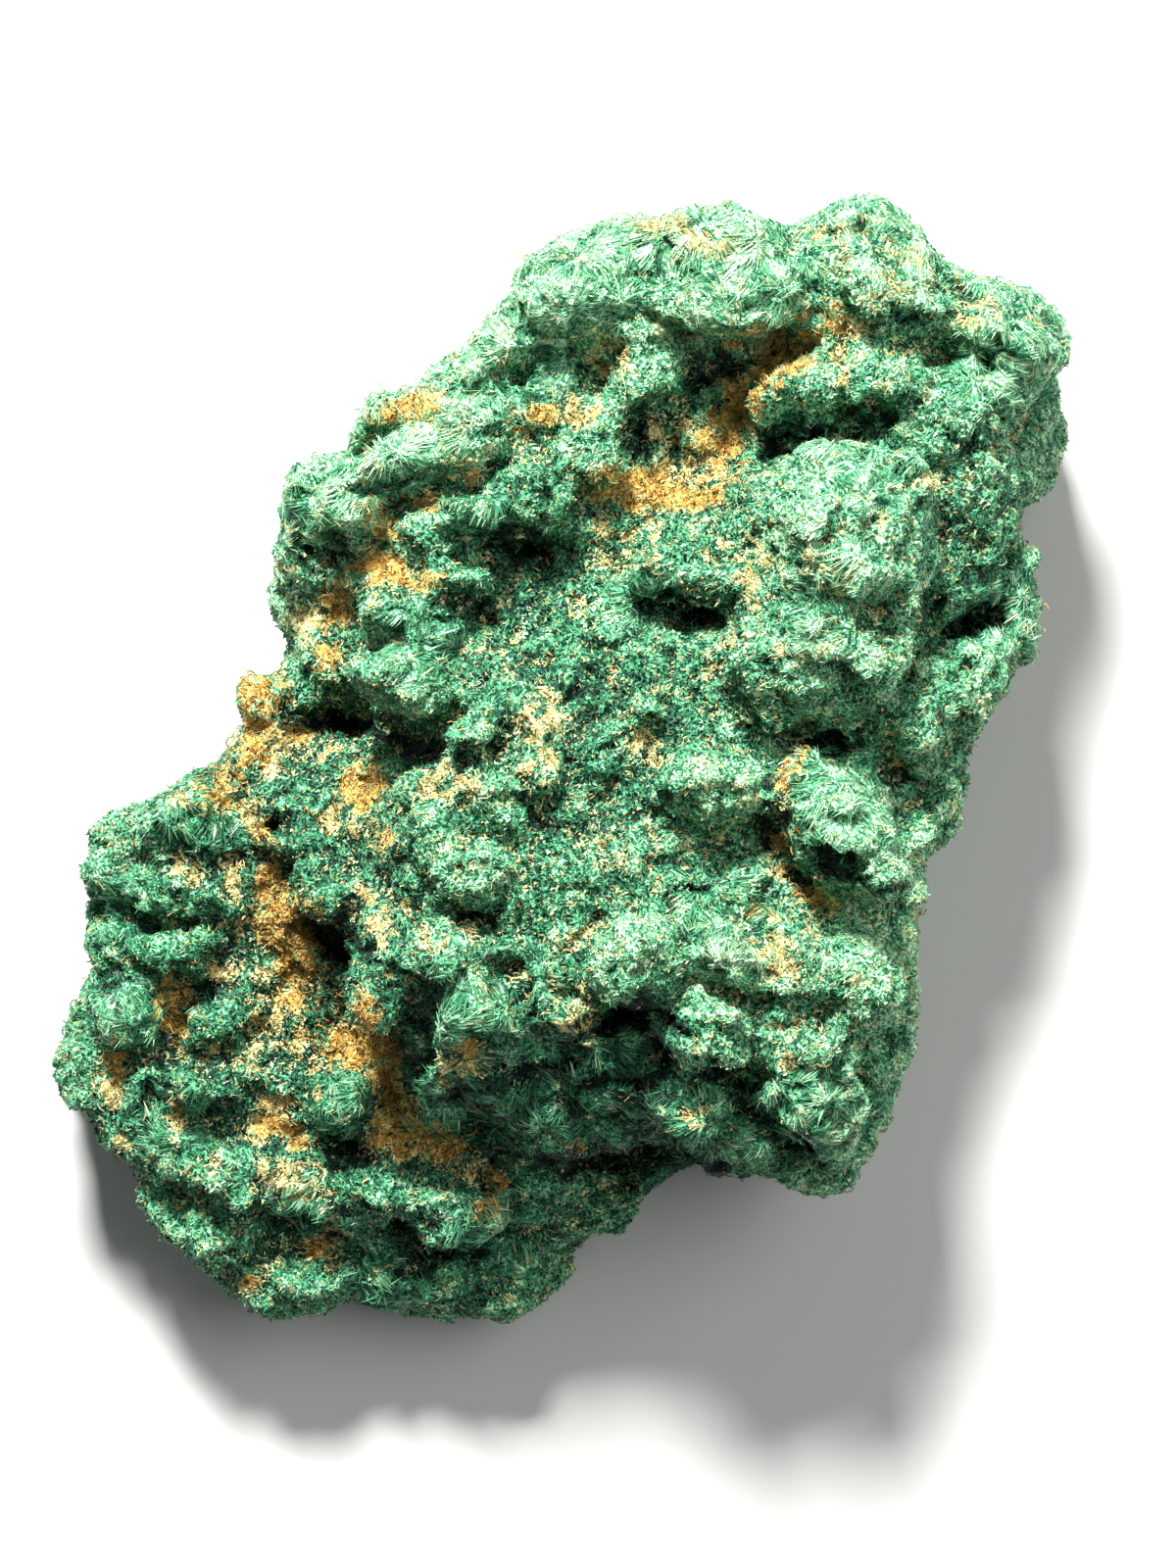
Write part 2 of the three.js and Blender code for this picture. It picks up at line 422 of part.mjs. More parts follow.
/** Rows of the buds on the shoulders of a lump. */
function budRows([x, y, top, across, along, deep, turn, lean]) {
  const rows = [];
  for (let bud = 0; bud < BUDS; bud += 1) {
    const angle = BUD_STEP * bud + BUD_SEEDS[0] * x + BUD_SEEDS[1] * y;
    const place = new THREE.Vector2(across * Math.cos(angle), along * Math.sin(angle))
      .multiplyScalar(BUD_APART)
      .rotateAround(new THREE.Vector2(), THREE.MathUtils.degToRad(turn));
    const rise = place.y * Math.sin(THREE.MathUtils.degToRad(lean));
    const size = BUD_SIZE * (1 + BUD_VARIETY * Math.sin(5 * angle));
    rows.push([
      x + place.x, y + place.y, top + rise - BUD_DROP * deep,
      size * across, size * along, BUD_DEPTH * deep, turn + BUD_TWIST * bud, lean]);
  }
  return rows;
}

/** A lump's row with its depth kept near its width. */
function squat([x, y, top, across, along, deep, turn, lean]) {
  return [x, y, top, across, along, Math.min(deep, TALLNESS * Math.max(across, along)), turn, lean];
}

/** Adds the lump of every row to a solid, with its buds. */
function grow(solid, rows) {
  const lumps = rows.map(squat);
  return [...lumps, ...lumps.flatMap(budRows)].reduce((grown, row) => grown.add(lumpSolid(row)), solid);
}

/** A closed mesh whose edges can be merged one by one, to thin out the slivers that the joins leave. */
class ThinningMesh {
  constructor({ vertProperties, triVerts }) {
    this.points = [];
    for (let i = 0; i < vertProperties.length; i += 3) {
      this.points.push(new THREE.Vector3().fromArray(vertProperties, i));
    }
    this.faces = [];
    this.around = this.points.map(() => new Set());
    for (let i = 0; i < triVerts.length; i += 3) {
      const face = [triVerts[i], triVerts[i + 1], triVerts[i + 2]];
      this.faces.push(face);
      face.forEach((corner) => this.around[corner].add(this.faces.length - 1));
    }
    this.count = this.faces.length;
  }

  /** Drops every body but the biggest: crumbs that a pit cut loose, and hollows that lumps closed. */
  keepBiggest() {
    const seen = new Set();
    const bodies = [];
    this.points.forEach((_, first) => {
      if (seen.has(first)) return;
      seen.add(first);
      const body = [first];
      for (const corner of body) {
        this.neighbours(corner).forEach((other) => {
          if (seen.has(other)) return;
          seen.add(other);
          body.push(other);
        });
      }
      bodies.push(body);
    });
    bodies.sort((one, other) => other.length - one.length);
    bodies.slice(1).flat().forEach((corner) => {
      this.around[corner].forEach((face) => {
        this.count -= this.faces[face] ? 1 : 0;
        this.faces[face] = null;
      });
      this.around[corner].clear();
    });
  }

  /** Plane of a face, with one of its corners moved if asked. */
  plane(face, moved = -1, place = null) {
    const corners = face.map((corner) => (corner === moved ? place : this.points[corner]));
    return new THREE.Plane().setFromCoplanarPoints(...corners);
  }

  /** Corners that share a face with a corner. */
  neighbours(corner) {
    const found = new Set();
    this.around[corner].forEach((face) => this.faces[face].forEach((other) => found.add(other)));
    found.delete(corner);
    return found;
  }

  /** The place for two merged corners that stays closest to the planes round them, and its cost. */
  bestPlace(a, b) {
    const [start, end] = [this.points[a], this.points[b]];
    const planes = [...new Set([...this.around[a], ...this.around[b]])]
      .map((face) => this.plane(this.faces[face]));
    const tries = [start, end, start.clone().lerp(end, 0.5)].map((place) => {
      const errors = planes.map((plane) => plane.distanceToPoint(place) ** 2);
      return { place, cost: errors.reduce((sum, error) => sum + error, 0) };
    });
    const best = tries.reduce((least, one) => (one.cost < least.cost ? one : least));
    return { place: best.place.clone(), cost: best.cost + SLIVER_WEIGHT * start.distanceToSquared(end) };
  }

  /** Merges corner b into corner a at a place, unless that would fold or pinch the mesh. */
  merge(a, b, place) {
    const besideB = this.neighbours(b);
    const shared = [...this.neighbours(a)].filter((corner) => besideB.has(corner));
    if (shared.length !== 2) return false;
    const gone = [...this.around[a]].filter((face) => this.around[b].has(face));
    for (const corner of [a, b]) {
      for (const face of this.around[corner]) {
        if (gone.includes(face)) continue;
        const before = this.plane(this.faces[face]).normal;
        const after = this.plane(this.faces[face], corner, place).normal;
        if (before.dot(after) < LEAST_FACE_TURN) return false;
      }
    }
    for (const face of gone) {
      this.faces[face].forEach((corner) => this.around[corner].delete(face));
      this.faces[face] = null;
    }
    for (const face of this.around[b]) {
      this.faces[face] = this.faces[face].map((corner) => (corner === b ? a : corner));
      this.around[a].add(face);
    }
    this.around[b].clear();
    this.points[a].copy(place);
    this.count -= gone.length;
    return true;
  }

  /** Merges the cheapest edges, pass by pass, until few enough faces are left. */
  thinTo(target) {
    for (let pass = 0; pass < MOST_PASSES && this.count > target; pass += 1) {
      const passEnd = Math.max(target, this.count * (1 - PASS_SHARE));
      const edges = [];
      this.faces.forEach((face) => face?.forEach((a, side) => {
        const b = face[(side + 1) % 3];
        if (a < b) edges.push({ a, b, ...this.bestPlace(a, b) });
      }));
      edges.sort((one, other) => one.cost - other.cost);
      const touched = new Set();
      for (const { a, b, place } of edges) {
        if (this.count <= passEnd) break;
        if (touched.has(a) || touched.has(b)) continue;
        const near = [...this.neighbours(a), ...this.neighbours(b)];
        if (this.merge(a, b, place)) near.forEach((corner) => touched.add(corner));
      }
    }
  }

  /** The thinned solid. */
  solid() {
    const renumbered = new Map();
    const places = [];
    const corners = this.faces.filter(Boolean).flat().map((corner) => {
      if (!renumbered.has(corner)) {
        renumbered.set(corner, renumbered.size);
        places.push(...this.points[corner].toArray());
      }
      return renumbered.get(corner);
    });
    return solidFrom(new Float32Array(places), new Uint32Array(corners));
  }
}

/** Thins a solid down to about as many faces as asked. */
function thinned(solid, target) {
  const mesh = new ThinningMesh(solid.getMesh());
  mesh.keepBiggest();
  mesh.thinTo(target);
  return mesh.solid();
}

/** Keeps what lies above the surface that the specimen rests on, so that the back is flat there. */
function flattenBack(solid) {
  const box = new THREE.BoxGeometry(2 * WIDTH, 2 * LENGTH, LENGTH);
  box.translate(0, 0, -LENGTH / 2);
  return solid.subtract(solidOf(box));
}

const lumpRows = [...sideRows(), ...RIDGE_LUMPS, ...CROWN_LUMPS, ...HEART_LUMPS, ...TERRACE_LUMPS];
let mass = grow(bodySolid(), lumpRows);
mass = PITS.reduce((pitted, row) => pitted.subtract(lumpSolid(row)), mass);
mass = flattenBack(thinned(grow(mass, LEDGES), FACES));

const { vertProperties, triVerts } = mass.getMesh();
const geometry = new THREE.BufferGeometry();
geometry.setAttribute('position', new THREE.BufferAttribute(vertProperties, 3));
geometry.setIndex(new THREE.BufferAttribute(triVerts, 1));
geometry.computeBoundingBox();
const middle = geometry.boundingBox.getCenter(new THREE.Vector3());
const size = geometry.boundingBox.getSize(new THREE.Vector3());
geometry.translate(-middle.x, -middle.y, -geometry.boundingBox.min.z);
geometry.scale(WIDTH / size.x, LENGTH / size.y, 1);
geometry.computeVertexNormals();

const specimen = new THREE.Group();
const material = new THREE.MeshStandardMaterial({ color: COLOUR, roughness: GLOSS_ROUGHNESS });
const massMesh = new THREE.Mesh(geometry, material);
massMesh.name = 'atacamite_mass';
specimen.add(massMesh);

export default specimen;
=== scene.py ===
"""Atacamite specimen, dressed: the weathered skin of the mass, the needles and sprays grown on it, the cream
threads and rusty grains of its hollows, and a plain pale studio round it. Metres, in the CAD's frame.
"""
import logging
import math
from dataclasses import dataclass, field
from enum import Enum
from typing import Any

import bmesh
import bpy
import numpy as np
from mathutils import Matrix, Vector, noise


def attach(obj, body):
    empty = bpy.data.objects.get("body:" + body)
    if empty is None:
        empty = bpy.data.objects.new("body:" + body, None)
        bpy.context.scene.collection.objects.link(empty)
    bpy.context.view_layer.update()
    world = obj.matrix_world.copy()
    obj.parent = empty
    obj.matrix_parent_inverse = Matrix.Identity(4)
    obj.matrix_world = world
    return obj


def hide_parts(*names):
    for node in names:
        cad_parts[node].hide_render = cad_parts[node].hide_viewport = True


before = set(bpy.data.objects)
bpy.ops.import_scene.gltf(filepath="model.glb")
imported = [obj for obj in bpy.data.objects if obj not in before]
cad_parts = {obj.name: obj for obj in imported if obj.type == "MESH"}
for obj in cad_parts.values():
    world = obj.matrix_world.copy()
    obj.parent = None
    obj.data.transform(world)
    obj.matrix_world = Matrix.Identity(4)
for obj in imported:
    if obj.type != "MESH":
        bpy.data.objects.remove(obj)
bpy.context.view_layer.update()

LOG = logging.getLogger("specimen")

MM = 0.001
# How much the blocks' tilt favours their lower edges, which stand out and cast the shadows under the ledges
LEAN_DOWN = 0.22
NODE = "atacamite_mass"
BODY = "root"

# Places on the face, in millimetres from the middle of the outline, right and up: x, y, half size across
# and along, turn in degrees and strength from 0 to 1.
RUST_PLACES = [
    (-7.6, 18.0, 1.5, 0.7, 15, 1.0), (-1.2, 17.6, 1.1, 0.5, 20, 0.9), (11.2, 20.5, 2.8, 0.9, 38, 1.0),
    (9.3, 18.7, 2.1, 1.0, 45, 0.8), (8.2, 16.6, 1.3, 1.6, 0, 0.7), (3.8, 14.1, 1.7, 0.9, 0, 1.0),
    (6.2, 13.7, 1.6, 0.6, 0, 1.0), (10.0, 21.4, 1.8, 0.6, 10, 0.8), (-8.8, 12.4, 1.0, 1.0, 0, 0.8),
    (-6.6, 13.4, 0.7, 0.5, 0, 0.9), (-9.0, 10.2, 1.6, 0.8, -30, 0.8), (-7.0, 9.4, 0.9, 0.5, 0, 0.9),
    (-11.2, 8.4, 0.7, 0.9, 0, 1.0), (-11.9, 5.7, 0.7, 0.6, 0, 1.0), (-9.9, -1.0, 1.0, 1.1, 0, 1.0),
    (-8.8, -3.6, 0.6, 0.6, 0, 0.8), (-13.7, -8.0, 1.7, 1.4, -42, 1.0), (-14.9, -5.9, 0.7, 0.9, 0, 1.0),
    (-19.8, -12.3, 0.9, 1.4, 12, 1.0), (-10.3, -14.2, 1.7, 1.0, 0, 1.0), (-9.6, -12.8, 0.6, 1.5, 10, 1.0),
    (-8.7, -16.6, 0.8, 2.5, 12, 1.0), (-7.6, -18.9, 2.1, 1.0, -10, 1.0), (-5.9, -19.6, 1.0, 0.6, 0, 0.9),
    (-12.6, -24.7, 0.9, 0.5, 10, 1.0), (-16.2, -26.6, 0.6, 0.3, 30, 1.0), (-3.4, -21.1, 0.6, 0.5, 0, 1.0),
    (-3.8, -22.5, 0.7, 0.6, 0, 1.0), (0.9, -19.2, 0.6, 0.5, 0, 0.8), (-4.7, -14.0, 0.6, 0.5, 0, 1.0),
    (11.3, -0.4, 0.4, 1.9, -20, 1.0), (11.0, -3.6, 0.7, 1.1, 0, 0.6), (12.8, -6.4, 1.0, 0.4, -20, 1.0),
    (9.7, -7.1, 0.6, 0.3, -20, 0.9), (-15.4, 3.2, 0.9, 1.8, -20, 0.9), (-15.8, 0.9, 1.1, 1.1, 0, 0.6),
    (-23.0, -15.0, 0.7, 1.4, 0, 0.6), (17.2, 0.1, 0.7, 0.3, 0, 0.7), (23.3, 4.8, 0.3, 0.7, 0, 0.7),
    (-14.9, -18.2, 0.6, 0.6, 0, 0.9), (-13.5, -19.0, 0.5, 0.5, 0, 1.0), (1.9, -3.7, 0.7, 0.6, 0, 0.4),
    (-13.6, -10.6, 0.9, 1.8, 0, 0.7), (-11.6, -11.0, 1.6, 1.8, 0, 0.4), (-17.2, -0.9, 0.9, 1.3, -20, 0.8),
    (-15.2, -3.4, 0.6, 1.0, 10, 0.8), (-13.2, 1.6, 0.8, 0.5, 0, 0.8), (-8.2, -17.8, 0.9, 1.2, 0, 1.0),
    (-12.9, -9.2, 1.1, 1.0, -42, 1.0),
]
CREAM_PLACES = [
    (11.0, 21.0, 2.2, 0.7, 48, 0.9), (8.8, 17.5, 1.0, 2.2, -20, 0.9), (5.5, 17.0, 1.6, 1.6, 0, 0.6),
    (6.5, 14.5, 2.4, 1.0, 0, 0.8), (9.8, 9.5, 0.8, 2.0, 0, 0.7), (3.5, 11.0, 1.5, 1.9, 0, 0.6),
    (-14.3, -11.2, 0.3, 2.6, 0, 0.9), (-16.8, -5.7, 0.4, 1.5, 0, 0.9), (-13.6, -13.8, 0.5, 1.0, 0, 0.9),
    (-15.6, -12.5, 0.3, 3.0, 0, 0.7), (-12.0, -23.4, 0.4, 1.4, 0, 0.9), (-14.3, -17.9, 0.7, 0.7, -42, 0.9),
    (-9.0, -7.5, 0.6, 1.6, 10, 0.7), (-19.0, -20.0, 3.0, 1.2, 0, 0.4), (-12.0, 1.5, 1.4, 1.0, 0, 0.6),
    (11.8, -9.5, 1.4, 1.5, 0, 0.5), (-4.5, -21.0, 2.0, 0.8, 10, 0.5), (-10.0, 9.0, 1.6, 1.6, 0, 0.5),
    (5.2, 27.2, 1.8, 1.0, 0, 0.8), (13.0, 26.7, 1.0, 0.6, 0, 0.8), (7.6, 25.9, 1.2, 0.6, 0, 0.9),
    (1.0, 17.9, 1.0, 0.8, 0, 0.9), (2.4, 20.7, 0.9, 0.9, 0, 1.0), (3.0, 11.2, 1.7, 1.9, 0, 0.6),
    (-4.8, 14.8, 1.1, 0.6, 0, 0.8), (-13.0, 7.3, 0.9, 0.9, 0, 1.0), (-15.3, 4.2, 1.2, 1.4, 0, 1.0),
    (-15.6, 1.4, 2.0, 2.0, -30, 0.8), (-13.4, 0.9, 1.8, 0.6, 0, 0.9), (-18.8, -1.2, 1.1, 0.6, 0, 0.9),
    (-11.2, -2.5, 1.0, 0.6, 0, 1.0), (-5.2, -0.6, 1.5, 0.9, 0, 1.0), (-0.9, 2.6, 1.1, 1.1, 0, 0.9),
    (-1.0, 0.6, 1.0, 1.8, 0, 0.8), (-14.6, -11.3, 0.4, 2.5, 0, 1.0), (-9.9, -7.0, 0.5, 1.1, 0, 1.0),
    (-16.0, -2.5, 0.9, 1.1, 0, 0.8), (-17.5, -10.3, 0.9, 0.5, 0, 0.9), (-18.9, -5.2, 0.9, 0.6, 0, 0.9),
    (-12.6, -15.9, 0.4, 1.2, 0, 0.9), (-23.0, -15.2, 0.5, 2.0, 0, 1.0), (-19.7, -17.6, 0.4, 1.4, 0, 0.9),
    (-15.0, -17.8, 0.6, 1.5, -40, 1.0), (-13.8, -21.0, 1.5, 1.1, 0, 0.9), (-16.3, -15.0, 1.0, 3.2, 0, 0.4),
    (-5.0, -14.9, 1.4, 0.8, 20, 0.9), (0.7, -12.4, 1.3, 0.8, 0, 0.8), (0.8, -11.2, 0.8, 0.5, 0, 0.8),
    (11.0, -4.2, 0.8, 1.2, 0, 0.8), (10.6, -8.8, 1.2, 1.5, 0, 0.8), (12.6, 9.5, 1.9, 1.2, -20, 0.6),
    (9.5, 9.8, 1.1, 1.3, 0, 0.6), (11.5, 5.8, 1.4, 0.6, 0, 0.6), (7.8, 5.5, 0.5, 1.1, -30, 0.8),
    (20.9, 22.8, 1.2, 0.9, 0, 0.8), (16.2, 25.2, 3.0, 2.2, 0, 0.5), (18.8, 14.2, 0.8, 0.4, 0, 1.0),
    (13.8, 20.6, 0.3, 1.6, 8, 1.0), (4.2, 1.2, 0.8, 0.9, 0, 0.6), (6.9, -17.4, 1.1, 0.5, 0, 0.8),
    (11.5, -14.5, 0.8, 0.6, 0, 0.6), (3.5, -4.5, 2.5, 1.3, 0, 0.4), (1.2, -8.6, 1.7, 0.8, 0, 0.5),
    (14.5, 22.2, 1.5, 0.8, 0, 0.6), (-22.4, -19.0, 0.6, 0.6, 0, 0.8), (-5.6, -8.2, 1.8, 0.8, 0, 0.6),
]
# Ragged cracks under the ledges: x, y, half size across and along, turn in degrees and depth. Besides being
# cut, they get painted shade in the skin's chart
CRACK_PLACES = [
    (13.6, 17.3, 3.0, 0.34, 10, 1.6), (11.0, 16.2, 0.9, 0.4, 52, 1.4), (8.9, 20.4, 2.6, 0.42, 18, 1.4),
    (3.9, 16.6, 0.4, 1.8, -10, 1.2), (6.0, 8.4, 2.0, 0.28, -12, 1.3), (10.6, 7.0, 0.9, 0.28, -45, 0.9),
    (20.4, 7.1, 1.4, 0.4, 25, 1.4), (13.3, 1.5, 2.4, 0.3, -4, 1.2), (14.4, -5.1, 2.3, 0.4, -30, 1.6),
    (10.7, -2.2, 0.34, 2.2, -14, 1.2), (-4.3, -7.3, 1.1, 0.34, 6, 1.4), (2.4, -12.5, 2.0, 0.42, 32, 1.6),
    (5.4, -12.3, 1.6, 0.4, -26, 1.5), (8.4, -15.4, 2.3, 0.28, -15, 1.2), (-2.4, -15.5, 3.4, 0.32, 14, 1.2),
    (3.4, -15.8, 2.4, 0.32, -14, 1.1), (4.0, -20.4, 4.4, 0.7, -4, 2.0), (-11.0, -7.9, 2.2, 0.28, -38, 0.7),
    (-11.2, 2.3, 2.4, 0.6, -10, 1.4), (-7.4, 1.2, 1.8, 0.45, -14, 1.2), (-4.1, 8.0, 1.0, 0.45, -20, 1.2),
    (-10.8, -19.7, 1.3, 0.45, 0, 1.0), (-6.2, -25.2, 1.9, 0.36, 4, 1.2), (-1.6, 11.3, 2.2, 0.45, -10, 1.0),
    (-8.6, 14.2, 1.6, 0.3, 10, 1.0), (-12.4, 11.0, 1.2, 0.28, -10, 0.9), (17.4, -0.1, 1.3, 0.26, -15, 0.9),
    (-19.4, -7.9, 1.5, 0.28, 0, 0.9), (-18.9, -11.3, 1.8, 0.3, 8, 1.0), (12.6, -19.0, 2.0, 0.3, -35, 1.0),
    (22.2, 21.0, 1.1, 0.45, -30, 0.8), (19.8, 16.6, 1.4, 0.28, -20, 0.8), (-0.2, -2.6, 1.6, 0.26, -20, 0.8),
    (6.6, -5.9, 1.6, 0.28, 10, 0.8), (1.0, 3.6, 1.3, 0.26, 20, 0.8), (16.8, 22.4, 1.4, 0.28, -10, 0.7),
    (5.4, 25.0, 0.3, 1.2, 10, 0.8), (-3.2, 17.2, 1.4, 0.28, 20, 0.8), (-14.6, -2.8, 0.9, 0.4, 0, 1.0),
]
# Lighter and darker parts of the green: x, y, reach and change from -1, black-green, to 1, mint. Partly the
# green's own tone, partly painted light on the lit lumps and painted shade in the caves and cracks
TONE_AND_SHADE_PLACES = [
    (2.0, 25.0, 6.0, 0.8), (9.0, 26.0, 4.0, 0.7), (-4.0, 20.0, 4.0, 0.6), (-9.0, 16.0, 4.0, 0.7),
    (-12.0, 13.0, 3.0, 0.6), (16.0, 26.0, 4.0, 0.5), (24.0, 22.0, 4.0, 0.5), (14.0, 12.0, 4.5, 0.5),
    (12.5, 6.5, 3.0, 0.4), (8.0, -1.0, 2.5, 0.4), (15.0, -3.0, 3.0, 0.5), (4.0, -9.0, 2.5, 0.5),
    (8.0, -9.0, 2.0, 0.5), (9.0, -13.0, 2.5, 0.4), (13.5, -17.5, 3.5, 0.4), (-4.0, -12.5, 2.0, 0.4),
    (-6.5, 4.5, 2.0, 0.5), (3.5, 7.5, 2.5, 0.2), (25.0, 9.0, 2.0, 0.4), (-19.0, -3.5, 3.0, 0.3),
    (-22.5, -12.5, 2.5, 0.3), (-11.2, -16.8, 1.6, 0.2), (-18.0, -21.0, 2.5, 0.2), (-3.5, -5.5, 2.0, 0.3),
    (-2.0, 9.0, 3.5, -0.9), (6.0, 16.5, 2.5, -0.5), (-11.5, 2.3, 2.6, -1.0), (-7.0, 1.0, 2.5, -0.7),
    (21.0, 13.0, 3.5, -0.5), (20.5, 9.5, 2.5, -0.6), (-12.0, -11.0, 2.6, -0.9), (-15.0, -14.5, 4.0, -0.6),
    (-13.0, -4.0, 4.0, -0.4), (0.0, -16.5, 5.0, -0.7), (5.0, -18.0, 3.5, -1.0), (-5.5, -16.5, 3.0, -0.9),
    (4.0, -20.8, 4.0, -1.0), (-1.0, -23.0, 4.0, -0.6), (-6.0, -27.0, 4.0, -0.6), (-14.0, -26.5, 4.0, -0.5),
    (-20.0, -9.0, 3.0, -0.5), (-17.0, -17.0, 3.0, -0.9), (-14.5, -9.5, 3.0, -1.0),
    (-19.0, -14.5, 2.5, -0.8), (-1.0, 19.5, 1.5, -0.4), (4.2, -12.6, 2.2, -0.8), (-16.5, -3.0, 3.0, -0.8),
    (-9.5, -5.0, 3.0, -0.6), (26.0, 16.0, 3.0, 0.5), (23.5, 2.0, 3.0, 0.5), (21.5, -6.0, 3.5, 0.5),
    (20.0, -14.0, 3.0, 0.4), (-6.0, 22.0, 3.0, 0.9), (-16.0, 8.0, 3.0, 0.7), (-0.5, 13.5, 1.6, -0.6),
    (9.5, 3.5, 2.5, -0.5), (-14.0, 0.0, 3.0, -0.6), (1.0, -1.0, 3.5, -0.3), (-15.0, -12.0, 9.0, -0.9),
    (-14.0, -20.0, 8.0, -0.8), (-15.0, -5.0, 6.0, -0.8), (-10.0, -15.0, 7.0, -0.9),
    (-5.0, -24.0, 6.0, -0.6), (-7.0, 10.0, 4.0, -0.4), (1.0, 3.0, 7.0, -0.7), (10.0, -16.0, 6.0, -0.2),
    (17.5, -8.0, 4.0, 0.6), (6.0, 15.0, 5.0, -0.4), (-17.0, -2.5, 4.0, -0.7), (-13.0, -21.0, 2.5, -0.6),
    (-9.0, -23.0, 2.5, -0.5), (-3.5, -19.5, 2.0, -0.7), (9.5, -19.5, 2.0, -0.5),
]
# Lumps where silky fans show: x, y and reach
FAN_PLACES = [
    (1.4, 24.8, 2.4), (5.9, 27.4, 2.6), (9.9, 24.0, 2.6), (-2.6, 20.8, 2.2), (-9.6, 14.3, 2.2),
    (-12.8, 13.3, 1.8), (-6.6, 15.6, 1.8), (-7.1, 6.3, 1.8), (-3.6, 12.3, 1.4), (-18.6, -2.3, 1.8),
    (-22.6, -7.3, 1.6), (-21.6, -12.6, 1.8), (8.4, -7.8, 2.0), (13.9, -0.8, 2.2), (12.9, 8.3, 2.0),
    (14.9, 15.3, 1.8), (17.0, 27.0, 2.2), (-11.2, -17.0, 1.4), (-20.0, -17.5, 1.8), (3.6, 9.6, 1.2),
    (-4.0, -11.5, 2.2), (-4.0, -17.0, 3.0), (2.0, -15.5, 3.0), (6.5, -18.5, 2.4), (-3.5, -24.0, 1.8),
    (-9.0, -26.5, 1.8), (22.0, 21.0, 2.4), (23.0, 8.0, 2.0), (12.5, -17.5, 2.0), (-13.0, -22.6, 1.6),
]

class Tone(Enum):
    """Places of the named tones along the palette, from 0 to 1."""

    DARKEST_GREEN = 0.0
    PALEST_GREEN = 0.78
    PALEST_CREAM = 0.79
    DEEPEST_CREAM = 0.87
    PALEST_RUST = 0.82
    DEEPEST_RUST = 0.95


@dataclass(frozen=True)
class Palette:
    """Colours of the mineral from black-green to mint, then cream, ochre and rust, in linear RGB."""

    stops: tuple[tuple[float, tuple[float, float, float]], ...] = (
        (0.00, (0.003, 0.010, 0.007)),
        (0.14, (0.009, 0.040, 0.022)),
        (0.28, (0.018, 0.125, 0.056)),
        (0.42, (0.046, 0.290, 0.128)),
        (0.56, (0.115, 0.475, 0.220)),
        (0.68, (0.255, 0.650, 0.345)),
        (0.78, (0.560, 0.830, 0.510)),
        (0.81, (0.900, 0.760, 0.340)),
        (0.87, (0.780, 0.540, 0.150)),
        (0.92, (0.660, 0.360, 0.060)),
        (0.97, (0.450, 0.170, 0.020)),
        (1.00, (0.100, 0.040, 0.015)),
    )

    def ramp(self, wiring: "Wiring", place: Any) -> Any:
        """Add the palette to a material.

        Args:
            wiring: the material's node tree.
            place: socket with the place along the palette.

        Returns:
            The socket of the colour.
        """
        node = wiring.node("ShaderNodeValToRGB", {"Fac": place})
        elements = node.color_ramp.elements
        while len(elements) < len(self.stops):
            elements.new(0.5)
        for element, (where, colour) in zip(elements, self.stops):
            element.position = where
            element.color = (*colour, 1.0)
        return node.outputs["Color"]


PALETTE = Palette()


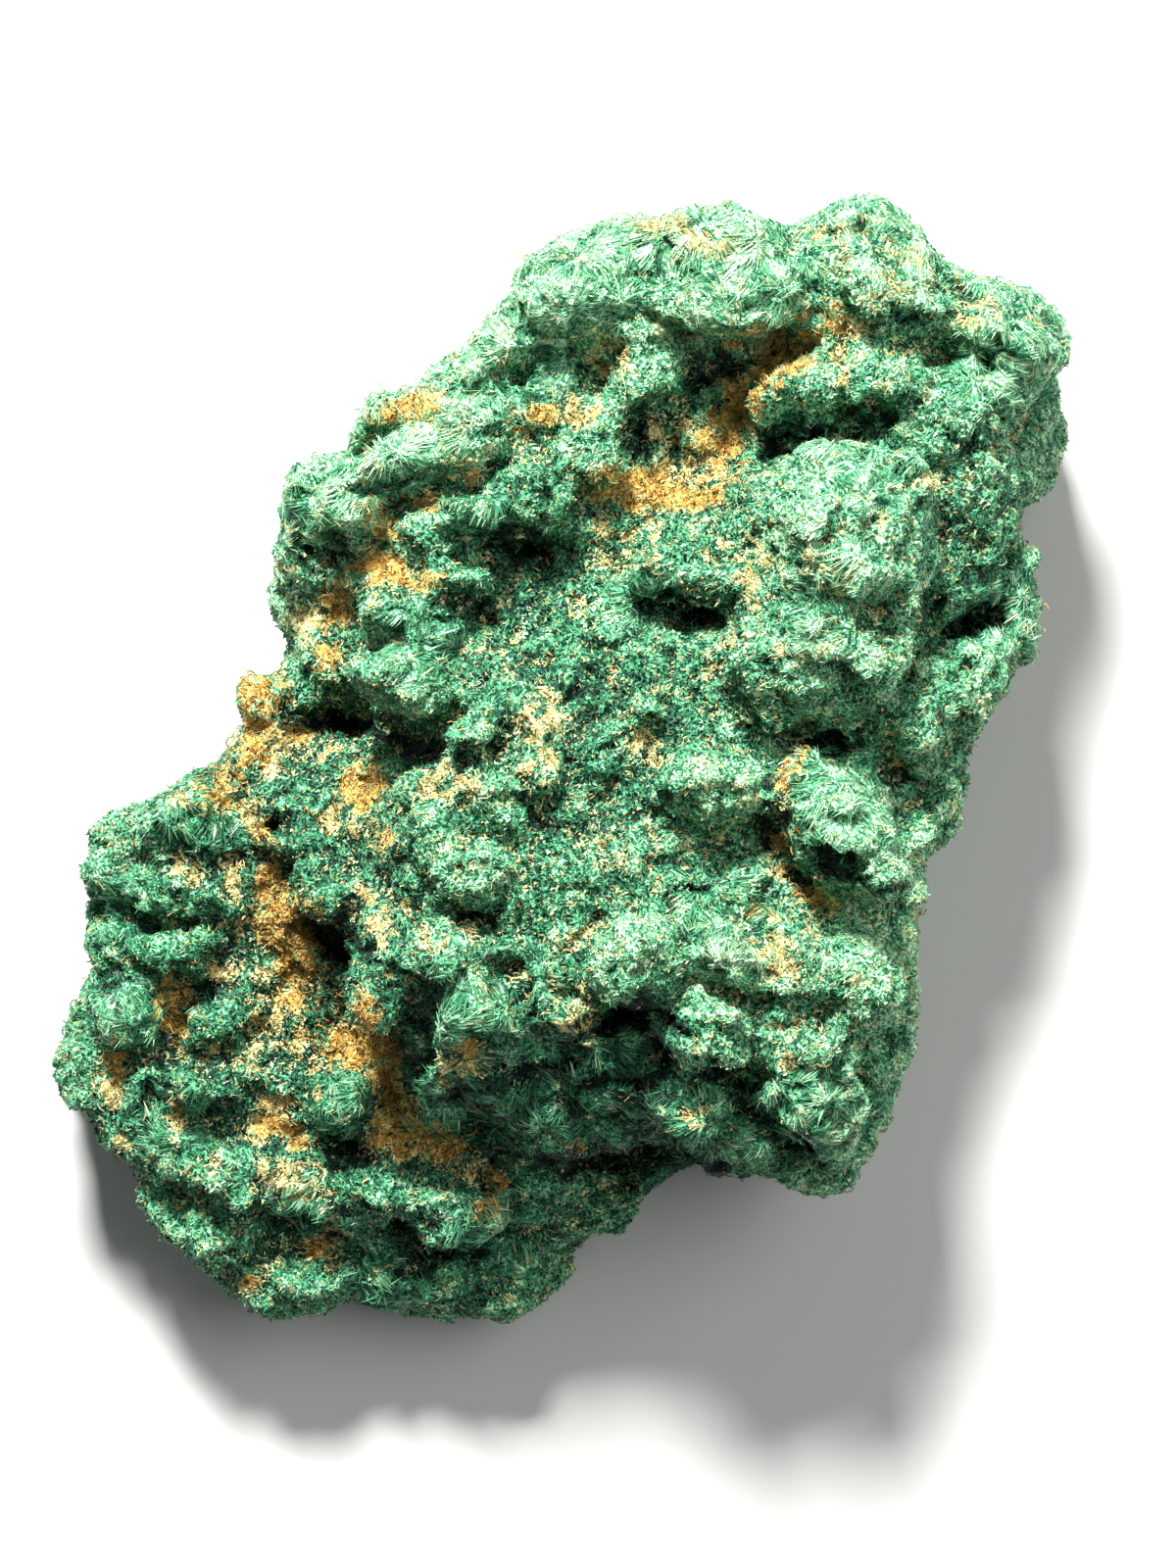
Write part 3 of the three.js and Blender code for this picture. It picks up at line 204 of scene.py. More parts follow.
class Wiring:
    """Builds one node tree, node by node."""

    def __init__(self, tree: Any) -> None:
        """Start on an empty tree."""
        self.tree = tree
        tree.nodes.clear()

    def node(self, kind: str, inputs: dict[str | int, Any] | None = None, **settings: Any) -> Any:
        """Add a node.

        Args:
            kind: Blender's name of the node type.
            inputs: value or socket for each input, by name or number.
            settings: properties of the node.

        Returns:
            The new node.
        """
        node = self.tree.nodes.new(kind)
        for name, value in settings.items():
            setattr(node, name, value)
        for key, value in (inputs or {}).items():
            if isinstance(value, bpy.types.NodeSocket):
                self.tree.links.new(value, node.inputs[key])
            else:
                node.inputs[key].default_value = value
        return node

    def maths(self, operation: str, *values: Any) -> Any:
        """Add a sum on numbers and return its socket."""
        return self.node("ShaderNodeMath", dict(enumerate(values)), operation=operation).outputs[0]

    def vectors(self, operation: str, *values: Any, scale: Any = None) -> Any:
        """Add a sum on vectors and return its vector socket."""
        inputs: dict[str | int, Any] = dict(enumerate(values))
        if scale is not None:
            inputs["Scale"] = scale
        return self.node("ShaderNodeVectorMath", inputs, operation=operation).outputs["Vector"]

    def dot(self, first: Any, second: Any) -> Any:
        """Add the dot product of two vectors and return its socket."""
        product = self.node("ShaderNodeVectorMath", {0: first, 1: second}, operation="DOT_PRODUCT")
        return product.outputs["Value"]

    def axes(self, vector: Any) -> Any:
        """Split a vector and return its three sockets by name."""
        return self.node("ShaderNodeSeparateXYZ", {0: vector}).outputs

    def joined(self, across: Any, along: Any, up: Any = 0.0) -> Any:
        """Join three numbers and return the vector's socket."""
        return self.node("ShaderNodeCombineXYZ", {"X": across, "Y": along, "Z": up}).outputs[0]

    def grain(self, place: Any, size: Any, detail: float = 2.0, roughness: float = 0.5) -> Any:
        """Add smooth noise.

        Args:
            place: socket of the place.
            size: size of its waves in metres, as a number or a socket.
            detail: how many finer layers it has.
            roughness: how strong the finer layers are.

        Returns:
            The noise node's outputs, Fac and Color.
        """
        scale = self.maths("DIVIDE", 1.0, size)
        inputs = {"Vector": place, "Scale": scale, "Detail": detail, "Roughness": roughness}
        return self.node("ShaderNodeTexNoise", inputs).outputs

    def cells(self, place: Any, size: Any) -> Any:
        """Add a pattern of cells and return its outputs, Distance, Color and Position."""
        scale = self.maths("DIVIDE", 1.0, size)
        return self.node("ShaderNodeTexVoronoi", {"Vector": place, "Scale": scale, "Randomness": 1.0}).outputs

    def bent(self, place: Any, size: float, reach: float, detail: float) -> Any:
        """Push a place about by noise and return the new place's socket.

        Args:
            place: socket of the place.
            size: size of the noise's waves in metres.
            reach: how far it pushes, in metres.
            detail: how many finer layers the noise has.

        Returns:
            The socket of the pushed place.
        """
        swirl = self.vectors("SUBTRACT", self.grain(place, size, detail)["Color"], (0.5, 0.5, 0.5))
        return self.vectors("ADD", place, self.vectors("SCALE", swirl, scale=reach))

    def clamped(self, value: Any, low: float = 0.0, high: float = 1.0) -> Any:
        """Keep a number between two limits and return its socket."""
        return self.node("ShaderNodeClamp", {"Value": value, "Min": low, "Max": high}).outputs[0]

    def blend(self, share: Any, first: Any, second: Any) -> Any:
        """Mix two numbers by a share and return the socket."""
        return self.maths("ADD", first, self.maths("MULTIPLY", share, self.maths("SUBTRACT", second, first)))


class GeometryTree(Wiring):
    """A Geometry Nodes tree with named inputs, run once on an object."""

    def __init__(self, name: str, inputs: dict[str, tuple[str, Any]]) -> None:
        """Make the tree and its interface.

        Args:
            name: name of the tree.
            inputs: for each named input, its socket type and the value that it gets.
        """
        super().__init__(bpy.data.node_groups.new(name, "GeometryNodeTree"))
        face = self.tree.interface
        face.new_socket("Geometry", in_out="INPUT", socket_type="NodeSocketGeometry")
        face.new_socket("Geometry", in_out="OUTPUT", socket_type="NodeSocketGeometry")
        self.values: dict[str, Any] = {}
        for label, (kind, value) in inputs.items():
            item = face.new_socket(label, in_out="INPUT", socket_type=f"NodeSocket{kind}")
            self.values[item.identifier] = value
        self.source = self.node("NodeGroupInput")

    def given(self, name: str) -> Any:
        """Socket of a named input."""
        return self.source.outputs[name]

    def named(self, name: str, kind: str = "FLOAT") -> Any:
        """Socket of an attribute on the mesh."""
        return self.node("GeometryNodeInputNamedAttribute", {"Name": name}, data_type=kind).outputs[0]

    def place(self) -> Any:
        """Socket of each point's place."""
        return self.node("GeometryNodeInputPosition").outputs[0]

    def chance(self, low: float, high: float, seed: int) -> Any:
        """Socket of a random number for each point."""
        inputs = {2: low, 3: high, "Seed": seed}
        return self.node("FunctionNodeRandomValue", inputs, data_type="FLOAT").outputs[1]

    def keep(self, geometry: Any, name: str, value: Any, kind: str, domain: str) -> Any:
        """Store an attribute and return the geometry's socket."""
        return self.node(
            "GeometryNodeStoreNamedAttribute",
            {"Geometry": geometry, "Name": name, "Value": value},
            data_type=kind,
            domain=domain,
        ).outputs["Geometry"]

    def run(self, carrier: bpy.types.Object, geometry: Any, name: str) -> bpy.types.Mesh:
        """Finish the tree and run it.

        Args:
            carrier: object whose mesh goes in.
            geometry: socket of the finished geometry.
            name: name of the new mesh.

        Returns:
            The result as a plain mesh; the modifier is gone from the carrier.
        """
        self.node("NodeGroupOutput", {"Geometry": geometry})
        modifier = carrier.modifiers.new("grow", "NODES")
        modifier.node_group = self.tree
        for identifier, value in self.values.items():
            modifier[identifier] = value
        depsgraph = bpy.context.evaluated_depsgraph_get()
        mesh = bpy.data.meshes.new_from_object(carrier.evaluated_get(depsgraph), depsgraph=depsgraph)
        mesh.name = name
        carrier.modifiers.remove(modifier)
        return mesh


@dataclass(frozen=True)
class SkinFinish:
    """Green crystal crust with rusty and cream stains, finer than the needles on it."""

    speckle: float = 0.42 * MM
    curl: float = 0.7 * MM
    drift: float = 0.5 * MM
    second_net: float = 31.0 * MM
    thinness: float = 9.0
    roughness: float = 0.6
    specular: float = 0.35
    bump: float = 0.12 * MM

    def threads(self, wiring: Wiring, place: Any, size: float, shift: float) -> Any:
        """Add a net of thin bright threads.

        Args:
            wiring: the material's node tree.
            place: socket of the place.
            size: size of the net's meshes in metres.
            shift: how far the net is moved, in metres.

        Returns:
            The socket of the net, 1 on a thread and 0 between threads.
        """
        moved = wiring.vectors("ADD", place, (shift, shift, -shift))
        middle = wiring.maths("SUBTRACT", wiring.grain(moved, size, 1.0)["Fac"], 0.5)
        apart = wiring.maths("ABSOLUTE", middle)
        return wiring.clamped(wiring.maths("MULTIPLY_ADD", apart, -self.thinness, 1.0))

    def stain(self, wiring: Wiring, name: str, edge: Any, net: Any, spread: float) -> Any:
        """Add a stain with a ragged edge.

        Args:
            wiring: the material's node tree.
            name: the attribute that holds the stain's strength.
            edge: socket of the noise that makes the edge ragged.
            net: socket of the thread net.
            spread: how far the stain runs out along the threads.

        Returns:
            The socket of the stain, from 0 to 1.
        """
        strength = wiring.node("ShaderNodeAttribute", attribute_name=name).outputs["Fac"]
        strength = wiring.maths("MULTIPLY_ADD", edge, 0.5, strength)
        strength = wiring.maths("MULTIPLY_ADD", net, spread, strength)
        return wiring.clamped(wiring.maths("MULTIPLY_ADD", strength, 5.0, -3.6))

    def material(self) -> bpy.types.Material:
        """Build the material from the skin's tone, rust and cream attributes."""
        material = bpy.data.materials.new("crystal_crust")
        material.use_nodes = True
        wiring = Wiring(material.node_tree)
        place = wiring.node("ShaderNodeTexCoord").outputs["Object"]
        curled = wiring.bent(place, self.curl, self.drift, 1.0)
        net = wiring.maths(
            "MAXIMUM",
            self.threads(wiring, curled, self.speckle, 0.0),
            self.threads(wiring, curled, 0.75 * self.speckle, self.second_net))
        broad = wiring.maths("MULTIPLY_ADD", wiring.grain(place, 0.8 * MM, 4.0, 0.6)["Fac"], 0.7, -0.35)
        green = wiring.node("ShaderNodeAttribute", attribute_name="tone").outputs["Fac"]
        # Partly the fibres' own pale colour on the threads, partly painted shade: the green is darker in the
        # gaps between the raised threads
        green = wiring.maths("ADD", green, wiring.maths("MULTIPLY_ADD", net, 0.56, -0.36))
        green = wiring.clamped(wiring.maths("ADD", green, broad), 0.0, Tone.PALEST_GREEN.value)
        edge = wiring.maths("MULTIPLY_ADD", wiring.grain(place, 0.5 * MM, 4.0, 0.6)["Fac"], 1.8, -0.9)
        cream = wiring.clamped(wiring.maths("MULTIPLY_ADD", net, -0.07, 0.88), 0.80, 0.89)
        rust = wiring.maths("MULTIPLY_ADD", net, -0.11, 0.975)
        rust = wiring.clamped(wiring.maths("MULTIPLY_ADD", broad, 0.12, rust), 0.84, 1.0)
        tone = wiring.blend(self.stain(wiring, "cream", edge, net, 0.6), green, cream)
        tone = wiring.blend(self.stain(wiring, "rust", edge, net, 0.25), tone, rust)
        relief = wiring.maths("MULTIPLY_ADD", wiring.grain(place, self.speckle, 4.0, 0.7)["Fac"], 0.8, net)
        bump = wiring.node("ShaderNodeBump", {"Height": relief, "Strength": 1.0, "Distance": self.bump})
        shader = wiring.node(
            "ShaderNodeBsdfPrincipled",
            {
                "Base Color": PALETTE.ramp(wiring, tone),
                "Roughness": self.roughness,
                "Specular IOR Level": self.specular,
                "Normal": bump.outputs["Normal"],
            },
        )
        wiring.node("ShaderNodeOutputMaterial", {"Surface": shader.outputs[0]})
        return material


@dataclass(frozen=True)
class NeedleFinish:
    """Silky needles: their own map gives the tone across and the way from root to tip along, which darkens
    each needle towards its root as painted shade.
    """

    name: str
    roughness: float = 0.38
    specular: float = 0.35
    root_shade: float = 0.32

    def material(self) -> bpy.types.Material:
        """Build the material from the needles' own map."""
        material = bpy.data.materials.new(self.name)
        material.use_nodes = True
        wiring = Wiring(material.node_tree)
        chart = wiring.axes(wiring.node("ShaderNodeUVMap", uv_map=NeedleGrowth.CHART).outputs["UV"])
        # Painted shade: each needle is darker towards its root, down among the others at the skin
        shade = wiring.maths("MULTIPLY_ADD", chart["Y"], 1.0 - self.root_shade, self.root_shade)
        shade = wiring.clamped(shade)
        shader = wiring.node(
            "ShaderNodeBsdfPrincipled",
            {
                "Base Color": wiring.vectors("SCALE", PALETTE.ramp(wiring, chart["X"]), scale=shade),
                "Roughness": self.roughness,
                "Specular IOR Level": self.specular,
            },
        )
        wiring.node("ShaderNodeOutputMaterial", {"Surface": shader.outputs[0]})
        return material


@dataclass(frozen=True)
class FloorFinish:
    """Plain pale floor."""

    colour: tuple[float, float, float] = (0.50, 0.495, 0.48)
    roughness: float = 0.9

    def material(self) -> bpy.types.Material:
        """Build the material."""
        material = bpy.data.materials.new("pale_floor")
        material.use_nodes = True
        shader = material.node_tree.nodes["Principled BSDF"]
        shader.inputs["Base Color"].default_value = (*self.colour, 1.0)
        shader.inputs["Roughness"].default_value = self.roughness
        return material


def covered(places: np.ndarray, marks: list[tuple[float, ...]], sharp: bool = False) -> np.ndarray:
    """How strongly a set of marks on the face covers each point.

    Args:
        places: points, in millimetres.
        marks: rows of x, y, half sizes across and along, turn and strength.
        sharp: whether the marks have steep edges.

    Returns:
        The strength of the strongest mark at each point.
    """
    strength = np.zeros(len(places))
    for x, y, across, along, turn, most in marks:
        angle = math.radians(turn)
        east, north = places[:, 0] - x, places[:, 1] - y
        right = (east * math.cos(angle) + north * math.sin(angle)) / across
        up = (north * math.cos(angle) - east * math.sin(angle)) / along
        apart = right**2 + up**2
        strength = np.maximum(strength, most * np.exp(-0.7 * apart**2 if sharp else -0.5 * apart))
    return strength


def ragged(places: np.ndarray, wave: float, shift: float = 0.0) -> np.ndarray:
    """Smooth noise from about -1 to 1 at each point.

    Args:
        places: points, in millimetres.
        wave: size of the noise's waves in millimetres.
        shift: moves the noise, so that two of them differ.

    Returns:
        The noise at each point.
    """
    return np.array([noise.noise(Vector(place) / wave + Vector((shift, 0.5 * shift, 0.25 * shift)))
                     for place in places])


@dataclass(frozen=True)
class Blocks:
    """Blocks of the crust: cells, each tilted its own way and a little domed."""

    name: str
    size: float
    slope: float
    dome: float

    def inputs(self) -> dict[str, tuple[str, Any]]:
        """Named inputs of the weathering tree."""
        return {
            f"{self.name} size": ("Float", self.size),
            f"{self.name} slope": ("Float", self.slope),
            f"{self.name} dome": ("Float", self.dome),
        }

    def rise(self, tree: GeometryTree, place: Any) -> Any:
        """Add the height of the blocks.

        Args:
            tree: the weathering tree, which has this set's inputs.
            place: socket of the place.

        Returns:
            The socket of the height in metres.
        """
        cells = tree.cells(place, tree.given(f"{self.name} size"))
        tilt = tree.vectors("SUBTRACT", cells["Color"], (0.5, 0.5 + LEAN_DOWN, 0.5))
        away = tree.vectors("SUBTRACT", place, cells["Position"])
        slant = tree.maths("MULTIPLY", tree.dot(away, tilt), tree.given(f"{self.name} slope"))
        crown = tree.maths("SUBTRACT", 0.35, tree.maths("POWER", cells["Distance"], 1.5))
        return tree.maths("MULTIPLY_ADD", crown, tree.given(f"{self.name} dome"), slant)


@dataclass
class CrystalSkin:
    """The crust over the whole mass: the CAD solid, remeshed finely and weathered."""

    voxel: float = 0.34 * MM
    melt: float = 0.45
    melt_rounds: int = 60
    crest_rounds: int = 40
    crest_height: float = 0.45
    warp_size: float = 2.5 * MM
    warp_reach: float = 1.6 * MM
    grit_size: float = 0.40 * MM
    grit_height: float = 0.60 * MM
    foot: float = 1.2 * MM
    blocks: tuple[Blocks, ...] = (
        Blocks("Ledge", 3.1 * MM, 0.36, 0.12 * MM),
        Blocks("Cluster", 1.8 * MM, 0.36, 0.20 * MM),
        Blocks("Knob", 0.95 * MM, 0.36, 0.42 * MM),
    )
    finish: SkinFinish = field(default_factory=SkinFinish)

    def remeshed(self) -> bpy.types.Object:
        """Copy the CAD node, merge its loose triangles and remesh it evenly."""
        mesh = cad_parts[NODE].data.copy()
        work = bmesh.new()
        work.from_mesh(mesh)
        bmesh.ops.remove_doubles(work, verts=work.verts, dist=0.001 * MM)
        work.to_mesh(mesh)
        work.free()
        mesh.materials.clear()
        carrier = bpy.data.objects.new("crystal_skin", mesh)
        bpy.context.scene.collection.objects.link(carrier)
        remesh = carrier.modifiers.new("remesh", "REMESH")
        remesh.mode = "VOXEL"
        remesh.voxel_size = self.voxel
        depsgraph = bpy.context.evaluated_depsgraph_get()
        carrier.data = bpy.data.meshes.new_from_object(carrier.evaluated_get(depsgraph), depsgraph=depsgraph)
        carrier.modifiers.clear()
        return carrier

    def smoothed(self, mesh: bpy.types.Mesh, rounds: int) -> tuple[np.ndarray, np.ndarray]:
        """Even the mesh out.

        Args:
            mesh: the skin's mesh.
            rounds: how many times each point moves towards the mean of its neighbours.

        Returns:
            The points as they are and as they would be smoothed, in millimetres.
        """
        count = len(mesh.vertices)
        flat = np.empty(count * 3, np.float32)
        mesh.vertices.foreach_get("co", flat)
        places = flat.reshape(-1, 3).astype(np.float64) / MM
        edges = np.empty(len(mesh.edges) * 2, np.int32)
        mesh.edges.foreach_get("vertices", edges)
        starts, ends = edges.reshape(-1, 2).T
        degree = np.maximum(np.bincount(starts, minlength=count) + np.bincount(ends, minlength=count), 1)
        smooth = places.copy()
        for _ in range(rounds):
            forward = [np.bincount(starts, smooth[ends, axis], count) for axis in range(3)]
            backward = [np.bincount(ends, smooth[starts, axis], count) for axis in range(3)]
            total = np.stack(forward, axis=1) + np.stack(backward, axis=1)
            smooth = 0.3 * smooth + 0.7 * total / degree[:, None]
        return places, smooth

    def cracked(self, places: np.ndarray) -> np.ndarray:
        """How deep the ragged cracks of the face go at each point, in millimetres."""
        pushed = np.array([noise.noise_vector(Vector(place) * 0.8) for place in places])
        on_face = np.clip((places[:, 2] - 5.0) / 2.0, 0.0, 1.0)
        return 0.8 * covered(places + 1.1 * pushed, CRACK_PLACES, sharp=True) * on_face

    def melt_lumps(self, mesh: bpy.types.Mesh) -> None:
        """Sink the lumps a little into each other, all but the flat back, and open the cracks of the face."""
        places, smooth = self.smoothed(mesh, self.melt_rounds)
        share = self.melt * np.clip((places[:, 2:3] - 0.5) / 1.5, 0.0, 1.0)
        places += share * (smooth - places)
        places[:, 2] -= self.cracked(places)
        mesh.vertices.foreach_set("co", (places * MM).astype(np.float32).ravel())
        mesh.update()

    def weather(self, carrier: bpy.types.Object) -> None:
        """Raise blocks and grit on the remeshed skin, less on its sides and none at its foot."""
        inputs = {
            "Warp size": ("Float", self.warp_size),
            "Grit size": ("Float", self.grit_size),
            "Grit height": ("Float", self.grit_height),
            "Foot": ("Float", self.foot),
        }
        for blocks in self.blocks:
            inputs |= blocks.inputs()
        tree = GeometryTree("weathering", inputs)
        place = tree.place()
        bent = tree.bent(place, tree.given("Warp size"), self.warp_reach, 2.0)
        grit = tree.maths("SUBTRACT", tree.grain(place, tree.given("Grit size"))["Fac"], 0.5)
        rise = tree.maths("MULTIPLY", grit, tree.given("Grit height"))
        for blocks in self.blocks:
            rise = tree.maths("ADD", rise, blocks.rise(tree, bent))
        height = tree.axes(place)["Z"]
        rise = tree.maths("MULTIPLY", rise, tree.clamped(tree.maths("DIVIDE", height, tree.given("Foot"))))
        normal = tree.node("GeometryNodeInputNormal").outputs[0]
        upright = tree.maths("ADD", tree.axes(normal)["Z"], 0.45)
        rise = tree.maths("MULTIPLY", rise, tree.clamped(upright, 0.35))
        moved = tree.node(
            "GeometryNodeSetPosition",
            {"Geometry": tree.given("Geometry"), "Offset": tree.vectors("SCALE", normal, scale=rise)})
        carrier.data = tree.run(carrier, moved.outputs["Geometry"], "crystal_skin")

    def tone_and_shade(self, places: np.ndarray) -> np.ndarray:
        """How much lighter, up to 1, or darker, down to -1, the green is at each point: partly its own tone,
        partly painted light and shade.
        """
        light = np.zeros(len(places))
        weight = np.full(len(places), 0.35)
        for x, y, reach, change in TONE_AND_SHADE_PLACES:
            apart = (places[:, 0] - x) ** 2 + (places[:, 1] - y) ** 2
            near = np.exp(-0.5 * apart / (0.55 * reach) ** 2)
            light += near * change
            weight += near
        return light / weight

    def fanned(self, places: np.ndarray) -> np.ndarray:
        """How strongly silky fans cover each point, from 0 to 1."""
        fans = np.zeros(len(places))
        for x, y, reach in FAN_PLACES:
            apart = (places[:, 0] - x) ** 2 + (places[:, 1] - y) ** 2
            fans = np.maximum(fans, np.exp(-0.5 * apart / reach**2))
        return np.clip(1.7 * fans - 0.15, 0.0, 1.0)

    def chart(self, mesh: bpy.types.Mesh) -> None:
        """Store on the skin each point's tone, with painted light and shade in it, rust and cream, and how
        thickly each growth stands there.

        Args:
            mesh: the weathered skin.
        """
        places, smooth = self.smoothed(mesh, self.crest_rounds)
        normals = np.empty(len(places) * 3, np.float32)
        mesh.vertices.foreach_get("normal", normals)
        normals = normals.reshape(-1, 3)
        crest = np.clip(np.einsum("ij,ij->i", places - smooth, normals) / self.crest_height, -1.0, 1.0)
        hollow = np.clip(-crest, 0.0, 1.0)
        facing = np.clip(normals[:, 2] * 1.2 + 0.3, 0.0, 1.0)
        # Painted shade: the cracks darken the green towards black-green and keep the cream out of them, as
        # well as thinning the growths there
        cracks = np.clip(self.cracked(places), 0.0, 1.0)
        uneven = ragged(places, 1.1)
        broken = ragged(places, 0.8, 9.0)
        strands = np.abs(ragged(places, 0.6))
        rust = covered(places, RUST_PLACES) * facing * np.clip(1.0 + 0.9 * broken, 0.45, 1.2)
        rust = np.clip(2.2 * rust - 0.35, 0.0, 1.0)
        cream = covered(places, CREAM_PLACES) * facing * np.clip(0.72 + 1.5 * broken, 0.10, 1.15)
        cream = np.clip(2.4 * cream - 0.50, 0.0, 1.0)
        stray = np.clip(0.55 * hollow + 0.9 * np.clip(uneven, 0.0, 1.0), 0.0, 0.8)
        stray = 0.14 + stray * np.clip(1.6 - 9.0 * strands, 0.15, 1.0)
        fans = self.fanned(places)
        grown = np.clip(0.45 + 0.55 * normals[:, 2], 0.12, 1.0) * (places[:, 2] > 0.5) * (1.0 - 0.7 * cracks)
        # Painted light and shade: the green is lighter on the crests and darker in the hollows; the
        # tone-and-shade places add more of both, and the noise is tone at random
        tone = 0.46 + 0.25 * self.tone_and_shade(places) + 0.16 * crest + 0.16 * uneven - 0.60 * cracks
        charts = {
            "tone": np.clip(tone, Tone.DARKEST_GREEN.value, Tone.PALEST_GREEN.value),
            "rust": rust,
            "cream": np.clip(np.maximum(cream, 0.85 * stray), 0.0, 1.0) * (1.0 - cracks),
            "felt": grown * (1.0 - 0.92 * fans),
            "fans": grown * fans,
            "threads": grown * np.clip(0.10 + 1.3 * np.maximum(rust, cream) + 0.5 * stray, 0.0, 1.0),
        }
        on_back = places[:, 2] < 0.05
        for name, even in {"tone": 0.34, "rust": 0.62, "cream": 0.50}.items():
            charts[name] = np.where(on_back, even, charts[name])
        for name, values in charts.items():
            layer = mesh.attributes.new(name, "FLOAT", "POINT")
            layer.data.foreach_set("value", values.astype(np.float32))

    def thin_back(self, mesh: bpy.types.Mesh) -> None:
        """Join the small faces of the flat back, which has no relief, into one."""
        work = bmesh.new()
        work.from_mesh(mesh)
        back = [face for face in work.faces if all(vert.co.z < 0.01 * MM for vert in face.verts)]
        bmesh.ops.dissolve_faces(work, faces=back, use_verts=False)
        lone = [vert for vert in work.verts if not vert.link_edges]
        bmesh.ops.delete(work, geom=lone, context="VERTS")
        work.to_mesh(mesh)
        work.free()

    def build(self) -> bpy.types.Object:
        """Make the skin and return it."""
        skin = self.remeshed()
        self.melt_lumps(skin.data)
        self.weather(skin)
        self.chart(skin.data)
        self.thin_back(skin.data)
        skin.data.materials.clear()
        skin.data.materials.append(self.finish.material())
        skin.data.polygons.foreach_set("use_smooth", [True] * len(skin.data.polygons))
        return skin


@dataclass
class NeedleGrowth:
    """One generation of needles: sprays that fan out from hearts scattered over the skin."""

    CHART = "OFBake"

    name: str
    seed: int
    count: int
    chart: str
    spray: float
    length: float
    width: float
    rise: float
    jitter: float
    tone_shift: float
    tone_spread: float
    stain_share: float
    patch: float = 0.7 * MM
    patch_change: float = 0.80
    heart_change: float = 0.20
    shortest: float = 0.45
    longest: float = 1.25
    thinnest: float = 0.6
    stoutest: float = 1.3

    def template(self, tree: GeometryTree) -> Any:
        """Add one needle, of unit length and width, and return its socket."""
        return tree.node(
            "GeometryNodeMeshCone",
            {"Vertices": 3, "Radius Top": 0.0, "Radius Bottom": 0.5, "Depth": 1.0},
            fill_type="NGON").outputs["Mesh"]

    def area(self, skin: bpy.types.Object) -> float:
        """Area of the skin in square metres, each face weighted by the chart that spreads the needles."""
        mesh = skin.data
        areas = np.empty(len(mesh.polygons), np.float32)
        mesh.polygons.foreach_get("area", areas)
        corners = np.empty(len(mesh.loops), np.int32)
        mesh.loops.foreach_get("vertex_index", corners)
        starts = np.empty(len(mesh.polygons), np.int32)
        mesh.polygons.foreach_get("loop_start", starts)
        weight = np.empty(len(mesh.vertices), np.float32)
        mesh.attributes[self.chart].data.foreach_get("value", weight)
        return float((areas * weight[corners[starts]]).sum())

    def aimed(self, tree: GeometryTree, hearts: Any, normal: Any) -> Any:
        """Turn each needle away from the heart of its spray, close to the skin.

        Args:
            tree: the growth's tree.
            hearts: outputs of the cells round the hearts.
            normal: socket of the skin's normal at each needle.

        Returns:
            The socket of the rotation.
        """
        outward = tree.vectors("SUBTRACT", tree.place(), hearts["Position"])
        outward = tree.vectors("SUBTRACT", outward, tree.vectors("PROJECT", outward, normal))
        outward = tree.vectors("NORMALIZE", outward)
        jitter = tree.node(
            "FunctionNodeRandomValue",
            {0: (-self.jitter,) * 3, 1: (self.jitter,) * 3, "Seed": self.seed + 1},
            data_type="FLOAT_VECTOR").outputs[0]
        upward = tree.vectors("SCALE", normal, scale=tree.given("Rise"))
        aim = tree.vectors("ADD", tree.vectors("ADD", outward, upward), jitter)
        return tree.node("FunctionNodeAlignRotationToVector", {"Vector": aim}, axis="Z").outputs[0]

    def toned(self, tree: GeometryTree, hearts: Any) -> Any:
        """Choose each needle's tone from the skin's charts, with chance differences.

        Args:
            tree: the growth's tree.
            hearts: outputs of the cells round the hearts.

        Returns:
            The socket of the place along the palette.
        """
        tone = tree.maths("ADD", tree.named("tone"), self.tone_shift)
        tone = tree.maths("ADD", tone, tree.chance(-self.tone_spread, self.tone_spread, self.seed + 2))
        changes = (
            (tree.axes(hearts["Color"])["X"], self.heart_change),
            (tree.grain(tree.place(), self.patch)["Fac"], self.patch_change),
        )
        for source, change in changes:
            tone = tree.maths("ADD", tone, tree.maths("MULTIPLY_ADD", source, change, -0.5 * change))
        tone = tree.clamped(tone, Tone.DARKEST_GREEN.value, Tone.PALEST_GREEN.value)
        stains = (
            ("cream", Tone.PALEST_CREAM.value, Tone.DEEPEST_CREAM.value, self.seed + 3),
            ("rust", Tone.PALEST_RUST.value, Tone.DEEPEST_RUST.value, self.seed + 5),
        )
        for name, palest, deepest, seed in stains:
            likely = tree.maths("MULTIPLY", tree.named(name), self.stain_share)
            stained = tree.maths("LESS_THAN", tree.chance(0.0, 1.0, seed), likely)
            tone = tree.blend(stained, tone, tree.chance(palest, deepest, seed + 1))
        return tone

    def sized(self, tree: GeometryTree) -> Any:
        """Socket of each needle's size, shorter where the growth is sparse."""
        length = tree.maths("MULTIPLY", tree.given("Length"), tree.named("needle_size"))
        length = tree.maths("MULTIPLY", length, tree.chance(self.shortest, self.longest, self.seed + 7))
        stoutness = tree.chance(self.thinnest, self.stoutest, self.seed + 8)
        width = tree.maths("MULTIPLY", tree.given("Width"), stoutness)
        return tree.joined(width, width, length)

    def mapped(self, tree: GeometryTree, needles: Any) -> Any:
        """Store the needles' own map: tone across, root to tip along.

        Args:
            tree: the growth's tree.
            needles: socket of the realized needles.

        Returns:
            The socket of the needles with their map.
        """
        own = tree.axes(tree.named("spike_place", "FLOAT_VECTOR"))
        across = tree.maths("MULTIPLY_ADD", own["X"], 0.012, tree.named("needle_tone"))
        along = tree.clamped(tree.maths("MULTIPLY_ADD", own["Y"], 0.03, own["Z"]), 0.01, 0.99)
        return tree.keep(needles, self.CHART, tree.joined(across, along), "FLOAT2", "CORNER")

